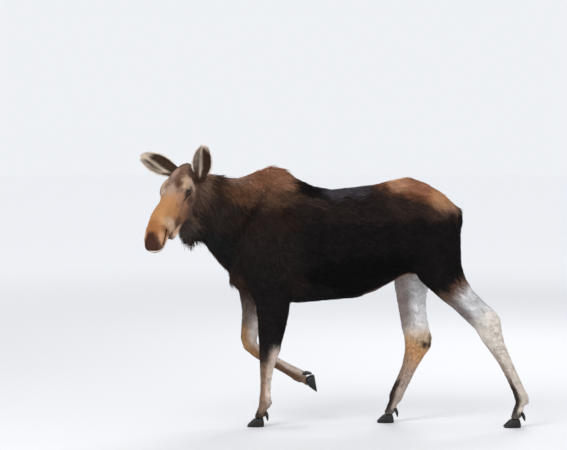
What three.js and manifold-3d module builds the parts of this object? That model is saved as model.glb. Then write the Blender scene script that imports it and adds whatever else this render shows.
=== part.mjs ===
// A life-size cow moose, walking: three hooves planted, the right fore lifted with its carpus bent,
// and the head turned to the left and lowered. Millimetres, +Z up. The moose faces -X and its left
// side is -Y. The origin is on the floor, under the middle of the animal's bounding box.
//
// Every soft part is a loft: a CylinderGeometry whose rings are laid along a spine of stations.
// A part that meets another is cut by the other's loft, grown by GAP, so that no two solids touch.
import * as THREE from "three";
import { mergeVertices } from "three/addons/utils/BufferGeometryUtils.js";
import Module from "manifold-3d";

const wasm = await Module();
wasm.setup();

// ---- driving dimensions ------------------------------------------------------------------------
const GAP = 0.35; // clearance between neighbouring solids
const HUMP_HEIGHT = 1768; // floor to the top of the shoulder hump
const HUMP_X = -472; // the hump, fore and aft
const BARREL_HALF_WIDTH = 274;
const CHEST_HALF_WIDTH = 190;
const HIP_HALF_WIDTH = 242;
const HEAD_LENGTH = 662; // poll to the tip of the nose
const HEAD_PITCH = 48; // degrees the face line points below the horizon
const HEAD_YAW = 60; // degrees the head is turned to the animal's left
const POLL = [-1050, -150, HUMP_HEIGHT]; // top of the head between the ears
const BROW_HALF_WIDTH = 112;
const MUZZLE_HALF_WIDTH = 77;
const EYE_RADIUS = 23;
const EYE_PLACE = { back: 200, side: 93, down: 54 }; // from the poll, in the head's own axes
const EAR_LENGTH = 245;
const EAR_HALF_WIDTH = 69;
const HOOF_LENGTH = 120;
const HOOF_HEIGHT = 56;
const HOOF_HALF_WIDTH = 25;
const TOE_SPACING = 56; // between the middles of the two toes
const TOE_SPLAY = 4; // degrees each toe turns outwards
const DEWCLAW_LENGTH = 50;
const DEWCLAW_RISE = 58; // from the top of the hooves to the dewclaws' roots
const TAIL_LENGTH = 105;
const NECK_BASE = { x: -628, z: 1350, lean: 13, wide: 760, tall: 3500 }; // where neck and trunk part
const SMALLEST_PIECE = 1e6; // what a cut leaves below this volume is a crumb

// ---- finishes ----------------------------------------------------------------------------------
const finish = (color, roughness) =>
  new THREE.MeshStandardMaterial({ color, roughness, metalness: 0 });
const COAT = {
  flank: () => finish(0x2c2521, 0.9),
  neck: () => finish(0x54443a, 0.9),
  face: () => finish(0xa98a68, 0.85),
  ear: () => finish(0x9c8b78, 0.9),
  upperLeg: () => finish(0x33291f, 0.9),
  lowerLeg: () => finish(0xa89880, 0.85),
};
const HORN = () => finish(0x1c1917, 0.5);
const EYE = () => finish(0x120c08, 0.1);

// ---- vectors and frames ------------------------------------------------------------------------
const vec = (p) => new THREE.Vector3(...p);
const radians = THREE.MathUtils.degToRad;

// The head's own frame: +X runs back from the nose, +Y to the animal's right, +Z up off the face.
const headFrame = new THREE.Matrix4()
  .makeTranslation(...POLL)
  .multiply(new THREE.Matrix4().makeRotationZ(radians(HEAD_YAW)))
  .multiply(new THREE.Matrix4().makeRotationY(radians(-HEAD_PITCH)));

// ---- solids ------------------------------------------------------------------------------------
// A closed geometry as a solid that can be joined and cut.
function solid(geometry) {
  const bare = geometry.clone();
  bare.deleteAttribute("normal");
  bare.deleteAttribute("uv");
  const merged = mergeVertices(bare, 1e-3);
  return new wasm.Manifold(
    new wasm.Mesh({
      numProp: 3,
      vertProperties: new Float32Array(merged.attributes.position.array),
      triVerts: new Uint32Array(merged.index.array),
    }),
  );
}

// The largest body of a solid: what a cut leaves as loose crumbs is dropped.
function largest(body) {
  const pieces = body.decompose();
  return pieces.reduce((most, piece) => (piece.volume() > most.volume() ? piece : most));
}

function mesh(name, body, material) {
  const data = largest(body).getMesh();
  const position = new Float32Array(data.numVert * 3);
  for (let i = 0; i < data.numVert; i++) {
    const start = i * data.numProp;
    position.set(data.vertProperties.subarray(start, start + 3), i * 3);
  }
  const geometry = new THREE.BufferGeometry()
    .setAttribute("position", new THREE.BufferAttribute(position, 3))
    .setIndex(new THREE.BufferAttribute(new Uint32Array(data.triVerts), 1));
  const made = new THREE.Mesh(geometry, material);
  made.name = name;
  return made;
}

// |c|^(2/power) with the sign of c: a superellipse's coordinate.
const bulge = (c, power) => Math.sign(c) * Math.abs(c) ** (2 / power);

// A body lofted through stations. A station holds the middle of its ring (at), its half sizes
// (half: to each side, up, down), how square the ring is above and below (power, 2 is an ellipse),
// and where needed the way it faces (normal) and its sideways axis (side). Up is normal x side.
// A negative up half hollows the ring, as in an ear.
function loft(stations, { around = 16, along = 3, grow = 0, frame = null } = {}) {
  const last = stations.length - 1;
  const spine = new THREE.CatmullRomCurve3(stations.map((s) => vec(s.at)), false, "catmullrom", 0.5);
  const sizes = new THREE.CatmullRomCurve3(stations.map((s) => vec(s.half)), false, "catmullrom", 0.5);
  const normals = stations.map((s, i) => (s.normal ? vec(s.normal) : spine.getTangent(i / last)).normalize());
  const sides = stations.map((s) => vec(s.side ?? [0, 1, 0]).normalize());
  const powers = stations.map((s) => s.power ?? [2.1, 2.1]);
  const geometry = new THREE.CylinderGeometry(1, 1, 1, around, last * along);
  const position = geometry.attributes.position;
  for (let i = 0; i < position.count; i++) {
    const [x, y, z] = [position.getX(i), position.getY(i), position.getZ(i)];
    const t = THREE.MathUtils.clamp(0.5 - y, 0, 1);
    const from = Math.min(Math.floor(t * last), last - 1);
    const part = t * last - from;
    const normal = normals[from].clone().lerp(normals[from + 1], part).normalize();
    const side = sides[from].clone().lerp(sides[from + 1], part);
    side.addScaledVector(normal, -side.dot(normal)).normalize();
    const up = normal.clone().cross(side);
    const [wide, above, below] = sizes.getPoint(t).toArray();
    const row = z >= 0 ? 0 : 1;
    const power = THREE.MathUtils.lerp(powers[from][row], powers[from + 1][row], part);
    const tall = (z >= 0 ? above : below) + grow;
    const point = spine
      .getPoint(t)
      .addScaledVector(side, (wide + grow) * bulge(x, power))
      .addScaledVector(up, tall * bulge(z, power));
    if (t < 1e-6) point.addScaledVector(normal, -grow);
    if (t > 1 - 1e-6) point.addScaledVector(normal, grow);
    position.setXYZ(i, point.x, point.y, point.z);
  }
  if (frame) geometry.applyMatrix4(frame);
  return solid(geometry);
}

// A loft and its grown twin, which cuts the neighbours.
function flesh(stations, options = {}) {
  return { body: loft(stations, options), cutter: loft(stations, { ...options, grow: GAP }) };
}

const cut = (body, ...cutters) => cutters.reduce((left, cutter) => left.subtract(cutter), body);

// ---- trunk -------------------------------------------------------------------------------------
// Each row: how far back, top, level of the greatest width, bottom, half width, and squareness
// above and below. The hump is narrow on top, the barrel is round and the loins are broad.
const trunkRow = (x, top, mid, bottom, wide, above = 2, below = 2.1) => ({
  at: [x, 0, mid],
  half: [wide, top - mid, mid - bottom],
  normal: [1, 0, 0],
  power: [above, below],
});
const trunk = flesh(
  [
    trunkRow(-752, 1290, 1120, 985, 80),
    trunkRow(-700, 1560, 1125, 932, 0.78 * CHEST_HALF_WIDTH, 1.7),
    trunkRow(-590, 1722, 1130, 892, CHEST_HALF_WIDTH, 1.5),
    trunkRow(HUMP_X, HUMP_HEIGHT, 1120, 858, 1.08 * CHEST_HALF_WIDTH, 1.35),
    trunkRow(-385, 1752, 1115, 838, 1.17 * CHEST_HALF_WIDTH, 1.4),
    trunkRow(-300, 1682, 1115, 830, 0.88 * BARREL_HALF_WIDTH, 1.6),
    trunkRow(-190, 1628, 1115, 838, 0.95 * BARREL_HALF_WIDTH, 1.75),
    trunkRow(-60, 1602, 1120, 850, 0.99 * BARREL_HALF_WIDTH, 1.85),
    trunkRow(100, 1618, 1130, 864, BARREL_HALF_WIDTH, 1.85),
    trunkRow(230, 1634, 1160, 908, 0.97 * BARREL_HALF_WIDTH, 1.8),
    trunkRow(345, 1664, 1210, 968, 0.93 * BARREL_HALF_WIDTH, 1.75),
    trunkRow(452, 1687, 1250, 1020, HIP_HALF_WIDTH, 1.75),
    trunkRow(567, 1650, 1270, 1020, 0.94 * HIP_HALF_WIDTH, 1.8),
    trunkRow(688, 1580, 1260, 1000, 0.79 * HIP_HALF_WIDTH, 1.9),
    trunkRow(775, 1500, 1250, 1020, 0.55 * HIP_HALF_WIDTH),
    trunkRow(812, 1400, 1250, 1110, 0.28 * HIP_HALF_WIDTH),
  ],
  { around: 24, along: 1 },
);

const tail = flesh(
  [
    { at: [782, 0, 1480], half: [30, 20, 20], normal: [0.75, 0, -0.65] },
    { at: [806, 0, 1445], half: [34, 20, 20], normal: [0.35, 0, -0.95] },
    { at: [818, 0, 1445 - 0.6 * TAIL_LENGTH], half: [26, 14, 14], normal: [0.1, 0, -1] },
    { at: [822, 0, 1445 - TAIL_LENGTH], half: [7, 6, 6], normal: [0, 0, -1] },
  ],
  { around: 10, along: 1 },
);

// ---- neck --------------------------------------------------------------------------------------
// From the skull down to the chest. It bends to the left as it rises, and hangs deep at the throat.
const neck = flesh(
  [
    { at: [-1000, -98, 1640], half: [82, 100, 112], normal: [0.7, 0.42, -0.52], side: [-0.5, 0.87, 0] },
    { at: [-935, -74, 1540], half: [98, 190, 228], normal: [0.8, 0.3, -0.5], side: [-0.38, 0.93, 0] },
    { at: [-838, -38, 1430], half: [118, 282, 207], normal: [0.87, 0.18, -0.46], side: [-0.2, 0.98, 0] },
    { at: [-735, -12, 1350], half: [142, 374, 264], normal: [0.95, 0.05, -0.32] },
    { at: [-630, 0, 1290], half: [168, 432, 315], normal: [1, 0, -0.12] },
    { at: [-540, 0, 1270], half: [150, 400, 300], normal: [1, 0, 0] },
  ].map((station) => ({ power: [1.75, 1.9], ...station })),
  { around: 18, along: 2 },
);

// The bell, a short flap of skin and hair that hangs from the throat.
const bellRow = (x, z, wide, back, front) => ({
  at: [x, -84, z],
  half: [wide, back, front],
  normal: [0, 0, -1],
  side: [-0.4, 0.9, 0],
});
const bell = flesh(
  [
    bellRow(-1005, 1500, 34, 60, 60),
    bellRow(-1018, 1400, 34, 80, 76),
    bellRow(-1022, 1325, 28, 76, 74),
    bellRow(-1012, 1268, 18, 56, 60),
    bellRow(-1004, 1242, 6, 24, 30),
  ],
  { around: 12, along: 1 },
);

// ---- head --------------------------------------------------------------------------------------
// Rows run from the nose back to the poll, in the head's frame: distance from the poll as a share
// of HEAD_LENGTH, top, level of the greatest width, bottom, half width, squareness.
const headRow = (share, top, mid, bottom, wide, above = 2.3, below = 2.2) => ({
  at: [-share * HEAD_LENGTH, 0, mid],
  half: [wide, top - mid, mid - bottom],
  normal: [1, 0, 0],
  power: [above, below],
});
const head = flesh(
  [
    headRow(1.01, -84, -98, -112, 38),
    headRow(0.985, -58, -95, -128, 62),
    headRow(0.935, -30, -90, -138, 0.96 * MUZZLE_HALF_WIDTH),
    headRow(0.855, -1, -80, -136, MUZZLE_HALF_WIDTH),
    headRow(0.765, 25, -66, -126, 1.01 * MUZZLE_HALF_WIDTH),
    headRow(0.67, 35, -74, -154, 0.98 * MUZZLE_HALF_WIDTH),
    headRow(0.585, 30, -82, -182, 0.95 * MUZZLE_HALF_WIDTH),
    headRow(0.5, 13, -78, -198, 0.97 * MUZZLE_HALF_WIDTH),
    headRow(0.41, 4, -62, -208, 84, 2.5, 1.9),
    headRow(0.335, 9, -46, -216, 103, 2.6, 1.7),
    headRow(0.27, 11, -40, -222, BROW_HALF_WIDTH, 2.5, 1.7),
    headRow(0.18, 11, -54, -224, 100, 2.4, 1.8),
    headRow(0.09, 8, -70, -214, 86),
    headRow(0, 0, -80, -190, 68),
    headRow(-0.07, -30, -85, -140, 40),
  ],
  { around: 20, along: 1, frame: headFrame },
);

const jaw = flesh(
  [
    headRow(0.715, -190, -205, -220, 18),
    headRow(0.68, -165, -200, -226, 33),
    headRow(0.61, -150, -196, -224, 38),
    headRow(0.51, -150, -200, -232, 43),
    headRow(0.4, -160, -206, -246, 52),
    headRow(0.28, -160, -210, -260, 62),
    headRow(0.18, -160, -208, -262, 62),
    headRow(0.1, -170, -200, -235, 40),
  ],
  { around: 12, along: 1, frame: headFrame },
);

// An eyeball stands a little out of its socket. side is -1 on the left and 1 on the right.
function eyeball(side, grow = 0) {
  const ball = new THREE.SphereGeometry(EYE_RADIUS + grow, 12, 8)
    .rotateX(Math.PI / 2)
    .translate(-EYE_PLACE.back, side * EYE_PLACE.side, -EYE_PLACE.down)
    .applyMatrix4(headFrame);
  return solid(ball);
}

// An ear is a leaf rolled into a scoop: solid at its root, hollow on the side that faces open.
function ear(root, tip, open) {
  const along = vec(tip).sub(vec(root)).normalize();
  const up = vec(open).addScaledVector(along, -vec(open).dot(along)).normalize();
  const side = up.clone().cross(along);
  const place = (share, back) =>
    vec(root).addScaledVector(along, share * EAR_LENGTH).addScaledVector(up, -back).toArray();
  const row = (share, back, wide, hollow, depth) => ({
    at: place(share, back),
    half: [wide * EAR_HALF_WIDTH, hollow, depth],
    normal: along.toArray(),
    side: side.toArray(),
    power: [2, 2],
  });
  return loft(
    [
      row(-0.16, 0, 0.42, 22, 24),
      row(0.02, 2, 0.58, 18, 30),
      row(0.18, -4, 0.84, -14, 38),
      row(0.36, -6, 0.98, -26, 40),
      row(0.55, -4, 0.96, -22, 34),
      row(0.74, 0, 0.8, -14, 25),
      row(0.9, 6, 0.52, -6, 15),
      row(1, 12, 0.14, 3, 5),
    ],
    { around: 14, along: 1 },
  );
}
const leftEar = ear([-934, -188, 1690], [-908, -308, 1862], [-0.16, -0.95, -0.3]);
const rightEar = ear([-1115, -84, 1722], [-1361, -62, 1836], [0.05, -0.95, 0.1]);

// ---- legs --------------------------------------------------------------------------------------
// A leg is one chain of stations from the body to the fetlock, parted where a joint is named.
// In a station of a leg, up is backwards and down is forwards, because the spine runs to the floor.
const leg = (x, y, z, wide, back, front, normal = null) => ({
  at: [x, y, z],
  half: [wide, back, front],
  ...(normal && { normal }),
});

// Each part of a chain starts GAP after the one before it ends.
function chain(stations, splits) {
  const bounds = [0, ...splits, stations.length - 1];
  const spine = new THREE.CatmullRomCurve3(stations.map((s) => vec(s.at)), false, "catmullrom", 0.5);
  const facing = stations.map((s, i) =>
    s.normal ? vec(s.normal) : spine.getTangent(i / (stations.length - 1)),
  );
  return bounds.slice(1).map((end, i) => {
    const part = stations.slice(bounds[i], end + 1).map((s, j) => ({
      ...s,
      normal: facing[bounds[i] + j].toArray(),
    }));
    if (i > 0) part[0].at = vec(part[0].at).addScaledVector(facing[bounds[i]], GAP).toArray();
    return flesh(part, { around: 14, along: i === 0 ? 2 : 1 });
  });
}

const FORE_LEFT = {
  name: "left_fore",
  parts: ["shoulder", "forearm", "cannon"],
  splits: [3, 7],
  stations: [
    leg(-435, -58, 1590, 38, 70, 80, [-0.2, 0, -1]),
    leg(-505, -116, 1390, 70, 125, 135, [-0.2, 0, -1]),
    leg(-535, -140, 1180, 84, 155, 165, [0, 0, -1]),
    leg(-480, -138, 985, 82, 138, 158, [0.1, 0, -1]),
    leg(-457, -134, 840, 72, 128, 116),
    leg(-462, -125, 729, 60, 112, 98),
    leg(-466, -117, 640, 52, 94, 88),
    leg(-470, -110, 575, 50, 80, 79, [0, 0, -1]),
    leg(-472, -106, 520, 52, 70, 76),
    leg(-482, -98, 452, 43, 54, 62),
    leg(-491, -91, 391, 35, 43, 50),
    leg(-499, -84, 310, 30, 36, 40),
    leg(-503, -77, 225, 30, 34, 37),
    leg(-504, -72, 168, 37, 45, 43),
    leg(-508, -70, 140, 34, 41, 39, [-0.2, 0, -1]),
  ],
  foot: { at: [-566, -69, 0], pitch: 0 },
};
const FORE_RIGHT = {
  name: "right_fore",
  parts: ["shoulder", "forearm", "cannon"],
  splits: [3, 7],
  stations: [
    leg(-435, 58, 1590, 38, 70, 80, [-0.2, 0, -1]),
    leg(-520, 116, 1390, 70, 125, 135, [-0.2, 0, -1]),
    leg(-560, 140, 1180, 84, 155, 165, [-0.05, 0, -1]),
    leg(-535, 142, 985, 82, 135, 178, [0, 0, -1]),
    leg(-540, 140, 840, 70, 105, 144),
    leg(-566, 138, 735, 58, 78, 104),
    leg(-588, 138, 645, 50, 58, 84),
    leg(-600, 134, 590, 47, 40, 77, [0.1, 0, -1]),
    leg(-588, 132, 535, 48, 26, 72, [0.45, 0, -0.9]),
    leg(-548, 131, 484, 46, 36, 50, [0.76, 0, -0.65]),
    leg(-490, 129, 442, 38, 38, 44, [0.84, 0, -0.54]),
    leg(-418, 127, 402, 32, 37, 39, [0.87, 0, -0.49]),
    leg(-335, 124, 356, 31, 37, 40, [0.87, 0, -0.49]),
    leg(-270, 122, 320, 37, 44, 48, [0.84, 0, -0.54]),
    leg(-250, 121, 306, 34, 39, 42, [0.8, 0, -0.6]),
  ],
  foot: { at: [-162, 120, 273], pitch: 100 },
};
const HIND_LEFT = {
  name: "left_hind",
  parts: ["thigh", "gaskin", "cannon"],
  splits: [3, 6],
  stations: [
    leg(520, -100, 1540, 60, 120, 120),
    leg(585, -130, 1370, 92, 190, 200),
    leg(632, -142, 1200, 98, 176, 200, [0.15, 0, -1]),
    leg(672, -142, 1050, 90, 150, 160, [0.35, 0, -0.94]),
    leg(742, -144, 945, 78, 118, 110, [0.6, 0, -0.8]),
    leg(818, -138, 862, 64, 96, 88, [0.7, 0, -0.71]),
    leg(898, -132, 782, 52, 94, 83, [0.71, 0, -0.7]),
    leg(962, -127, 716, 46, 102, 81, [0.68, 0, -0.73]),
    leg(990, -125, 672, 45, 105, 80, [0.6, 0, -0.8]),
    leg(1012, -123, 625, 44, 80, 76, [0.48, 0, -0.88]),
    leg(1044, -120, 560, 40, 60, 62, [0.45, 0, -0.89]),
    leg(1094, -116, 468, 35, 47, 47),
    leg(1147, -112, 361, 32, 41, 41),
    leg(1198, -110, 250, 32, 41, 41),
    leg(1221, -108, 193, 39, 48, 46),
    leg(1227, -108, 163, 36, 44, 42, [-0.1, 0, -1]),
  ],
  foot: { at: [1160, -108, 0], pitch: 0 },
};
const HIND_RIGHT = {
  name: "right_hind",
  parts: ["thigh", "gaskin", "cannon"],
  splits: [3, 7],
  stations: [
    leg(500, 100, 1540, 60, 120, 120),
    leg(545, 130, 1370, 92, 190, 190),
    leg(555, 142, 1200, 98, 190, 178, [-0.2, 0, -1]),
    leg(515, 146, 1055, 92, 172, 150, [-0.25, 0, -1]),
    leg(493, 145, 945, 80, 124, 122, [-0.05, 0, -1]),
    leg(492, 142, 840, 66, 103, 100, [0.06, 0, -1]),
    leg(502, 138, 745, 56, 95, 92, [0.12, 0, -1]),
    leg(520, 135, 655, 48, 92, 96, [0.1, 0, -1]),
    leg(537, 133, 590, 46, 97, 98, [-0.05, 0, -1]),
    leg(535, 130, 545, 45, 98, 96, [-0.25, 0, -0.97]),
    leg(516, 128, 480, 40, 70, 74, [-0.4, 0, -0.92]),
    leg(478, 125, 378, 34, 50, 52),
    leg(437, 123, 290, 32, 49, 46),
    leg(404, 121, 222, 34, 47, 45),
    leg(388, 120, 184, 39, 49, 46),
    leg(377, 120, 157, 35, 44, 42, [-0.45, 0, -0.9]),
  ],
  foot: { at: [318, 120, 0], pitch: 0 },
};

// ---- feet --------------------------------------------------------------------------------------
// A foot's own frame: origin on the sole, toes along -X, +Z up to the fetlock.
const footFrame = ({ at, pitch }) =>
  new THREE.Matrix4()
    .makeTranslation(...at)
    .multiply(new THREE.Matrix4().makeRotationY(radians(-pitch)));

// In a foot, up is forwards, because the spines run up from the sole or down to it.
const hoofRow = (z, middle, wide, front, back) => ({
  at: [middle, 0, z],
  half: [wide, front, back],
  normal: [0, 0, 1],
  power: [1.8, 2.5],
});
function hoof(side, frame) {
  const toe = new THREE.Matrix4()
    .makeTranslation(0, (side * TOE_SPACING) / 2, 0)
    .multiply(new THREE.Matrix4().makeRotationZ(radians(-side * TOE_SPLAY)));
  return loft(
    [
      hoofRow(0, 0, 0.94 * HOOF_HALF_WIDTH, 0.51 * HOOF_LENGTH, 0.45 * HOOF_LENGTH),
      hoofRow(0.2 * HOOF_HEIGHT, 2, HOOF_HALF_WIDTH, 0.5 * HOOF_LENGTH, 0.46 * HOOF_LENGTH),
      hoofRow(0.62 * HOOF_HEIGHT, 8, HOOF_HALF_WIDTH, 0.34 * HOOF_LENGTH, 0.38 * HOOF_LENGTH),
      hoofRow(HOOF_HEIGHT, 14, 0.9 * HOOF_HALF_WIDTH, 0.2 * HOOF_LENGTH, 0.27 * HOOF_LENGTH),
    ],
    { around: 12, along: 1, frame: frame.clone().multiply(toe) },
  );
}

// The pastern rises from the hooves to the fetlock, a point in the foot's frame.
const CORONET = new THREE.Vector3(18, 0, HOOF_HEIGHT + GAP);
function pastern(fetlock, frame) {
  const lean = fetlock.clone().sub(CORONET);
  const row = (share, wide, front, back, normal) => ({
    at: CORONET.clone().addScaledVector(lean, share).toArray(),
    half: [wide, front, back],
    normal: normal.toArray(),
    power: [2.2, 2.2],
  });
  const floorwards = new THREE.Vector3(0, 0, 1);
  return flesh(
    [
      row(0, 47, 31, 35, floorwards),
      row(0.35, 38, 31, 34, floorwards.clone().multiplyScalar(2).add(lean.clone().normalize())),
      row(0.75, 32, 32, 34, lean),
      row(1, 31, 33, 35, lean),
    ],
    { around: 12, along: 1, frame },
  );
}

// A dewclaw hangs behind the pastern, on its own side.
function dewclaw(side, fetlock, frame) {
  const rise = fetlock.clone().sub(CORONET).normalize();
  const back = new THREE.Vector3(rise.z, 0, -rise.x);
  const root = CORONET.clone().addScaledVector(rise, DEWCLAW_RISE);
  const fall = back.clone().multiplyScalar(0.45).sub(rise).normalize();
  const row = (reach, drop, wide, thick) => ({
    at: root
      .clone()
      .addScaledVector(back, reach)
      .addScaledVector(fall, drop * DEWCLAW_LENGTH)
      .add(new THREE.Vector3(0, side * (24 + 6 * drop), 0))
      .toArray(),
    half: [wide, thick, thick],
    normal: fall.toArray(),
  });
  return loft([row(24, 0, 13, 11), row(34, 0.35, 15, 13), row(38, 0.75, 11, 9), row(40, 1.1, 4, 3)], {
    around: 8,
    along: 1,
    frame,
  });
}

// ---- the whole animal --------------------------------------------------------------------------
const moose = new THREE.Group();
const limbs = [FORE_LEFT, FORE_RIGHT, HIND_LEFT, HIND_RIGHT].map((limb) => ({
  ...limb,
  flesh: chain(limb.stations, limb.splits),
}));
const upperLegs = limbs.flatMap((limb) => limb.flesh.slice(0, 2).map((part) => part.cutter));

for (const limb of limbs) {
  const group = new THREE.Group();
  const frame = footFrame(limb.foot);
  limb.flesh.forEach(({ body }, i) => {
    const material = i === 2 ? COAT.lowerLeg() : COAT.upperLeg();
    group.add(mesh(`${limb.name}_${limb.parts[i]}`, body, material));
  });
  const fetlock = vec(limb.stations.at(-2).at).applyMatrix4(frame.clone().invert());
  const ankle = pastern(fetlock, frame);
  group.add(mesh(`${limb.name}_pastern`, cut(ankle.body, limb.flesh[2].cutter), COAT.lowerLeg()));
  // The outer toe is the one away from the animal's middle.
  const outwards = Math.sign(limb.foot.at[1]);
  for (const [label, side] of [["outer", outwards], ["inner", -outwards]]) {
    group.add(mesh(`${limb.name}_hoof_${label}`, hoof(side, frame), HORN()));
    const claw = cut(dewclaw(side, fetlock, frame), ankle.cutter, limb.flesh[2].cutter);
    group.add(mesh(`${limb.name}_dewclaw_${label}`, claw, HORN()));
  }
  moose.add(group);
}

const eyes = [["left", -1], ["right", 1]];
const ears = { left: leftEar, right: rightEar };
const headGroup = new THREE.Group();
headGroup.add(mesh("head", cut(head.body, ...eyes.map(([, side]) => eyeball(side, GAP))), COAT.face()));
headGroup.add(mesh("lower_jaw", cut(jaw.body, head.cutter), COAT.face()));
for (const [label, side] of eyes) {
  headGroup.add(mesh(`eye_${label}`, eyeball(side), EYE()));
  headGroup.add(mesh(`ear_${label}`, cut(ears[label], head.cutter, neck.cutter), COAT.ear()));
}
headGroup.add(mesh("bell", cut(bell.body, head.cutter, jaw.cutter), COAT.neck()));
moose.add(headGroup);

// Neck and trunk are one body, parted by a thin slab that leans forwards to the foot of the neck.
const slab = new THREE.BoxGeometry(GAP, NECK_BASE.wide, NECK_BASE.tall)
  .rotateY(radians(NECK_BASE.lean))
  .translate(NECK_BASE.x, 0, NECK_BASE.z);
const torso = cut(trunk.body.add(neck.body), head.cutter, jaw.cutter, bell.cutter, ...upperLegs);
const [front, back] = cut(torso, solid(slab))
  .decompose()
  .filter((piece) => piece.volume() > SMALLEST_PIECE)
  .sort((a, b) => a.boundingBox().min[0] - b.boundingBox().min[0]);
moose.add(mesh("neck", front, COAT.neck()));
moose.add(mesh("trunk", back, COAT.flank()));
moose.add(mesh("tail", cut(tail.body, trunk.cutter, ...upperLegs), COAT.flank()));

// The origin goes to the floor under the middle of the bounding box.
const bounds = new THREE.Box3().setFromObject(moose, true);
const middle = bounds.getCenter(new THREE.Vector3());
moose.position.set(-middle.x, -middle.y, -bounds.min.z);

export default moose;
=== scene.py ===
"""A life-size cow moose, walking: one skin with its winter coat, eyes, hooves, floor, light and camera.

Metres, +Z up. The moose faces -X and its left side is -Y. Every mesh holds its own place.
"""

import itertools
import logging
import math
from collections.abc import Iterator
from contextlib import contextmanager
from dataclasses import dataclass, field, fields
from enum import Enum

import bmesh
import bpy
import numpy as np
from mathutils import Matrix, Vector
from mathutils.bvhtree import BVHTree


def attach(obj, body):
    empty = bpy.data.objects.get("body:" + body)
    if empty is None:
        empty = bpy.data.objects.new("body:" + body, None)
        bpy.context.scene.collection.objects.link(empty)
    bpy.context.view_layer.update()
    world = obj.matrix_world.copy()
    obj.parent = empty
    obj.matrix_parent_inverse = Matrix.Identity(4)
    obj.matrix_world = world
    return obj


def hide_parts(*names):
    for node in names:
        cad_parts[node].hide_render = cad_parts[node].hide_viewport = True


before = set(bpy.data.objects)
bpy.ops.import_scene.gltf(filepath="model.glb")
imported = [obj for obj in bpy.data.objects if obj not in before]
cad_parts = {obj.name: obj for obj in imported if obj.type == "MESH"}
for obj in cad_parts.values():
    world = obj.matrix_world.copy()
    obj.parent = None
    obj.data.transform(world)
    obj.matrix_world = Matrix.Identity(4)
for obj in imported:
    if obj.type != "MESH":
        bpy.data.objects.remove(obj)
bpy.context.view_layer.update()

LOG = logging.getLogger("moose")
BODY = "root"
BAKE_MAP = "OFBake"
LIE_MAP = "FurLie"
TINT = "tint"
WET = "wet"
MILLIMETRE = 0.001
WELD = 1e-5  # vertices nearer than this are one
TINY = 1e-6

Triple = tuple[float, float, float]
Pair = tuple[float, float]
Link = tuple[bpy.types.Node, str | int, bpy.types.Node, str | int]


# ---- where things are --------------------------------------------------------------------------
MIDLINE = 0.1168  # the middle plane of the trunk
POLL = Vector((-1.01524, -0.0323, 1.768))
HEAD_YAW = math.radians(60)
HEAD_PITCH = math.radians(48)
HEAD_FRAME = (
    Matrix.Translation(POLL)
    @ Matrix.Rotation(HEAD_YAW, 4, "Z")
    @ Matrix.Rotation(-HEAD_PITCH, 4, "Y")
)


class Region(Enum):
    """The parts of the body that have their own lie and length of hair."""

    HEAD = 0
    BELL = 1
    NECK = 2
    TRUNK = 3
    TAIL = 4
    EAR_LEFT = 5
    EAR_RIGHT = 6
    FORE_LEFT = 7
    FORE_RIGHT = 8
    HIND_LEFT = 9
    HIND_RIGHT = 10


FORE_LIMBS = (Region.FORE_LEFT, Region.FORE_RIGHT)
LIMBS = (*FORE_LIMBS, Region.HIND_LEFT, Region.HIND_RIGHT)
EARS = (Region.EAR_LEFT, Region.EAR_RIGHT)
EYE_NODES = ("eye_left", "eye_right")
NODE_REGIONS = {
    "head": Region.HEAD,
    "lower_jaw": Region.HEAD,
    "eye_left": Region.HEAD,
    "eye_right": Region.HEAD,
    "bell": Region.BELL,
    "neck": Region.NECK,
    "trunk": Region.TRUNK,
    "tail": Region.TAIL,
    "ear_left": Region.EAR_LEFT,
    "ear_right": Region.EAR_RIGHT,
}
LIMB_PREFIXES = {
    "left_fore": Region.FORE_LEFT,
    "right_fore": Region.FORE_RIGHT,
    "left_hind": Region.HIND_LEFT,
    "right_hind": Region.HIND_RIGHT,
}


def region_of(node: str) -> Region:
    """The region that a solid of flesh belongs to.

    Args:
        node: The solid's name.

    Returns:
        Its region.
    """
    for prefix, region in LIMB_PREFIXES.items():
        if node.startswith(prefix):
            return region
    return NODE_REGIONS[node]


def is_horn(node: str) -> bool:
    """Whether a solid is a hoof or a dewclaw."""
    return "hoof" in node or "dewclaw" in node


def flesh_nodes() -> list[str]:
    """The names of the solids that one skin stands for."""
    return [n for n in sorted(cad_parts) if not is_horn(n) and n not in EYE_NODES]


# ---- numbers over many points ------------------------------------------------------------------
# what a noise cell's corner is multiplied and mixed with to give a number that looks random
NOISE_KEYS = np.array([73856093, 19349663, 83492791])
NOISE_MIXES = ((13, 1274126177), (16, 668265263))
NOISE_TOP = 0x7FFFFFFF
SEED_KEY = 7919
SEED_SHIFT = 0.37


# the patterns of noise in use: how far apart their lumps are, and which pattern
BODY_COARSE, BODY_FINE = (0.07, 3), (0.022, 4)
FACE_COARSE, FACE_FINE = (0.030, 5), (0.010, 6)
LOCK_COARSE, LOCK_FINE = (0.022, 8), (0.010, 9)
SWAY_NOISE, BEND_NOISE = (0.045, 12), (0.03, 14)


def ease(t: np.ndarray) -> np.ndarray:
    """An even curve from 0 to 1."""
    return t * t * (3.0 - 2.0 * t)


def smoothstep(low: float, high: float, x: np.ndarray) -> np.ndarray:
    """0 below low, 1 above high, and an even curve between; low may be above high."""
    return ease(np.clip((x - low) / (high - low), 0.0, 1.0))


def bell(x: np.ndarray, middle: float, width: float) -> np.ndarray:
    """A rounded bump, 1 at its middle."""
    return np.exp(-(((x - middle) / width) ** 2))


def unit(vectors: np.ndarray) -> np.ndarray:
    """Vectors brought to length 1."""
    return vectors / np.maximum(np.linalg.norm(vectors, axis=-1, keepdims=True), 1e-9)


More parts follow.
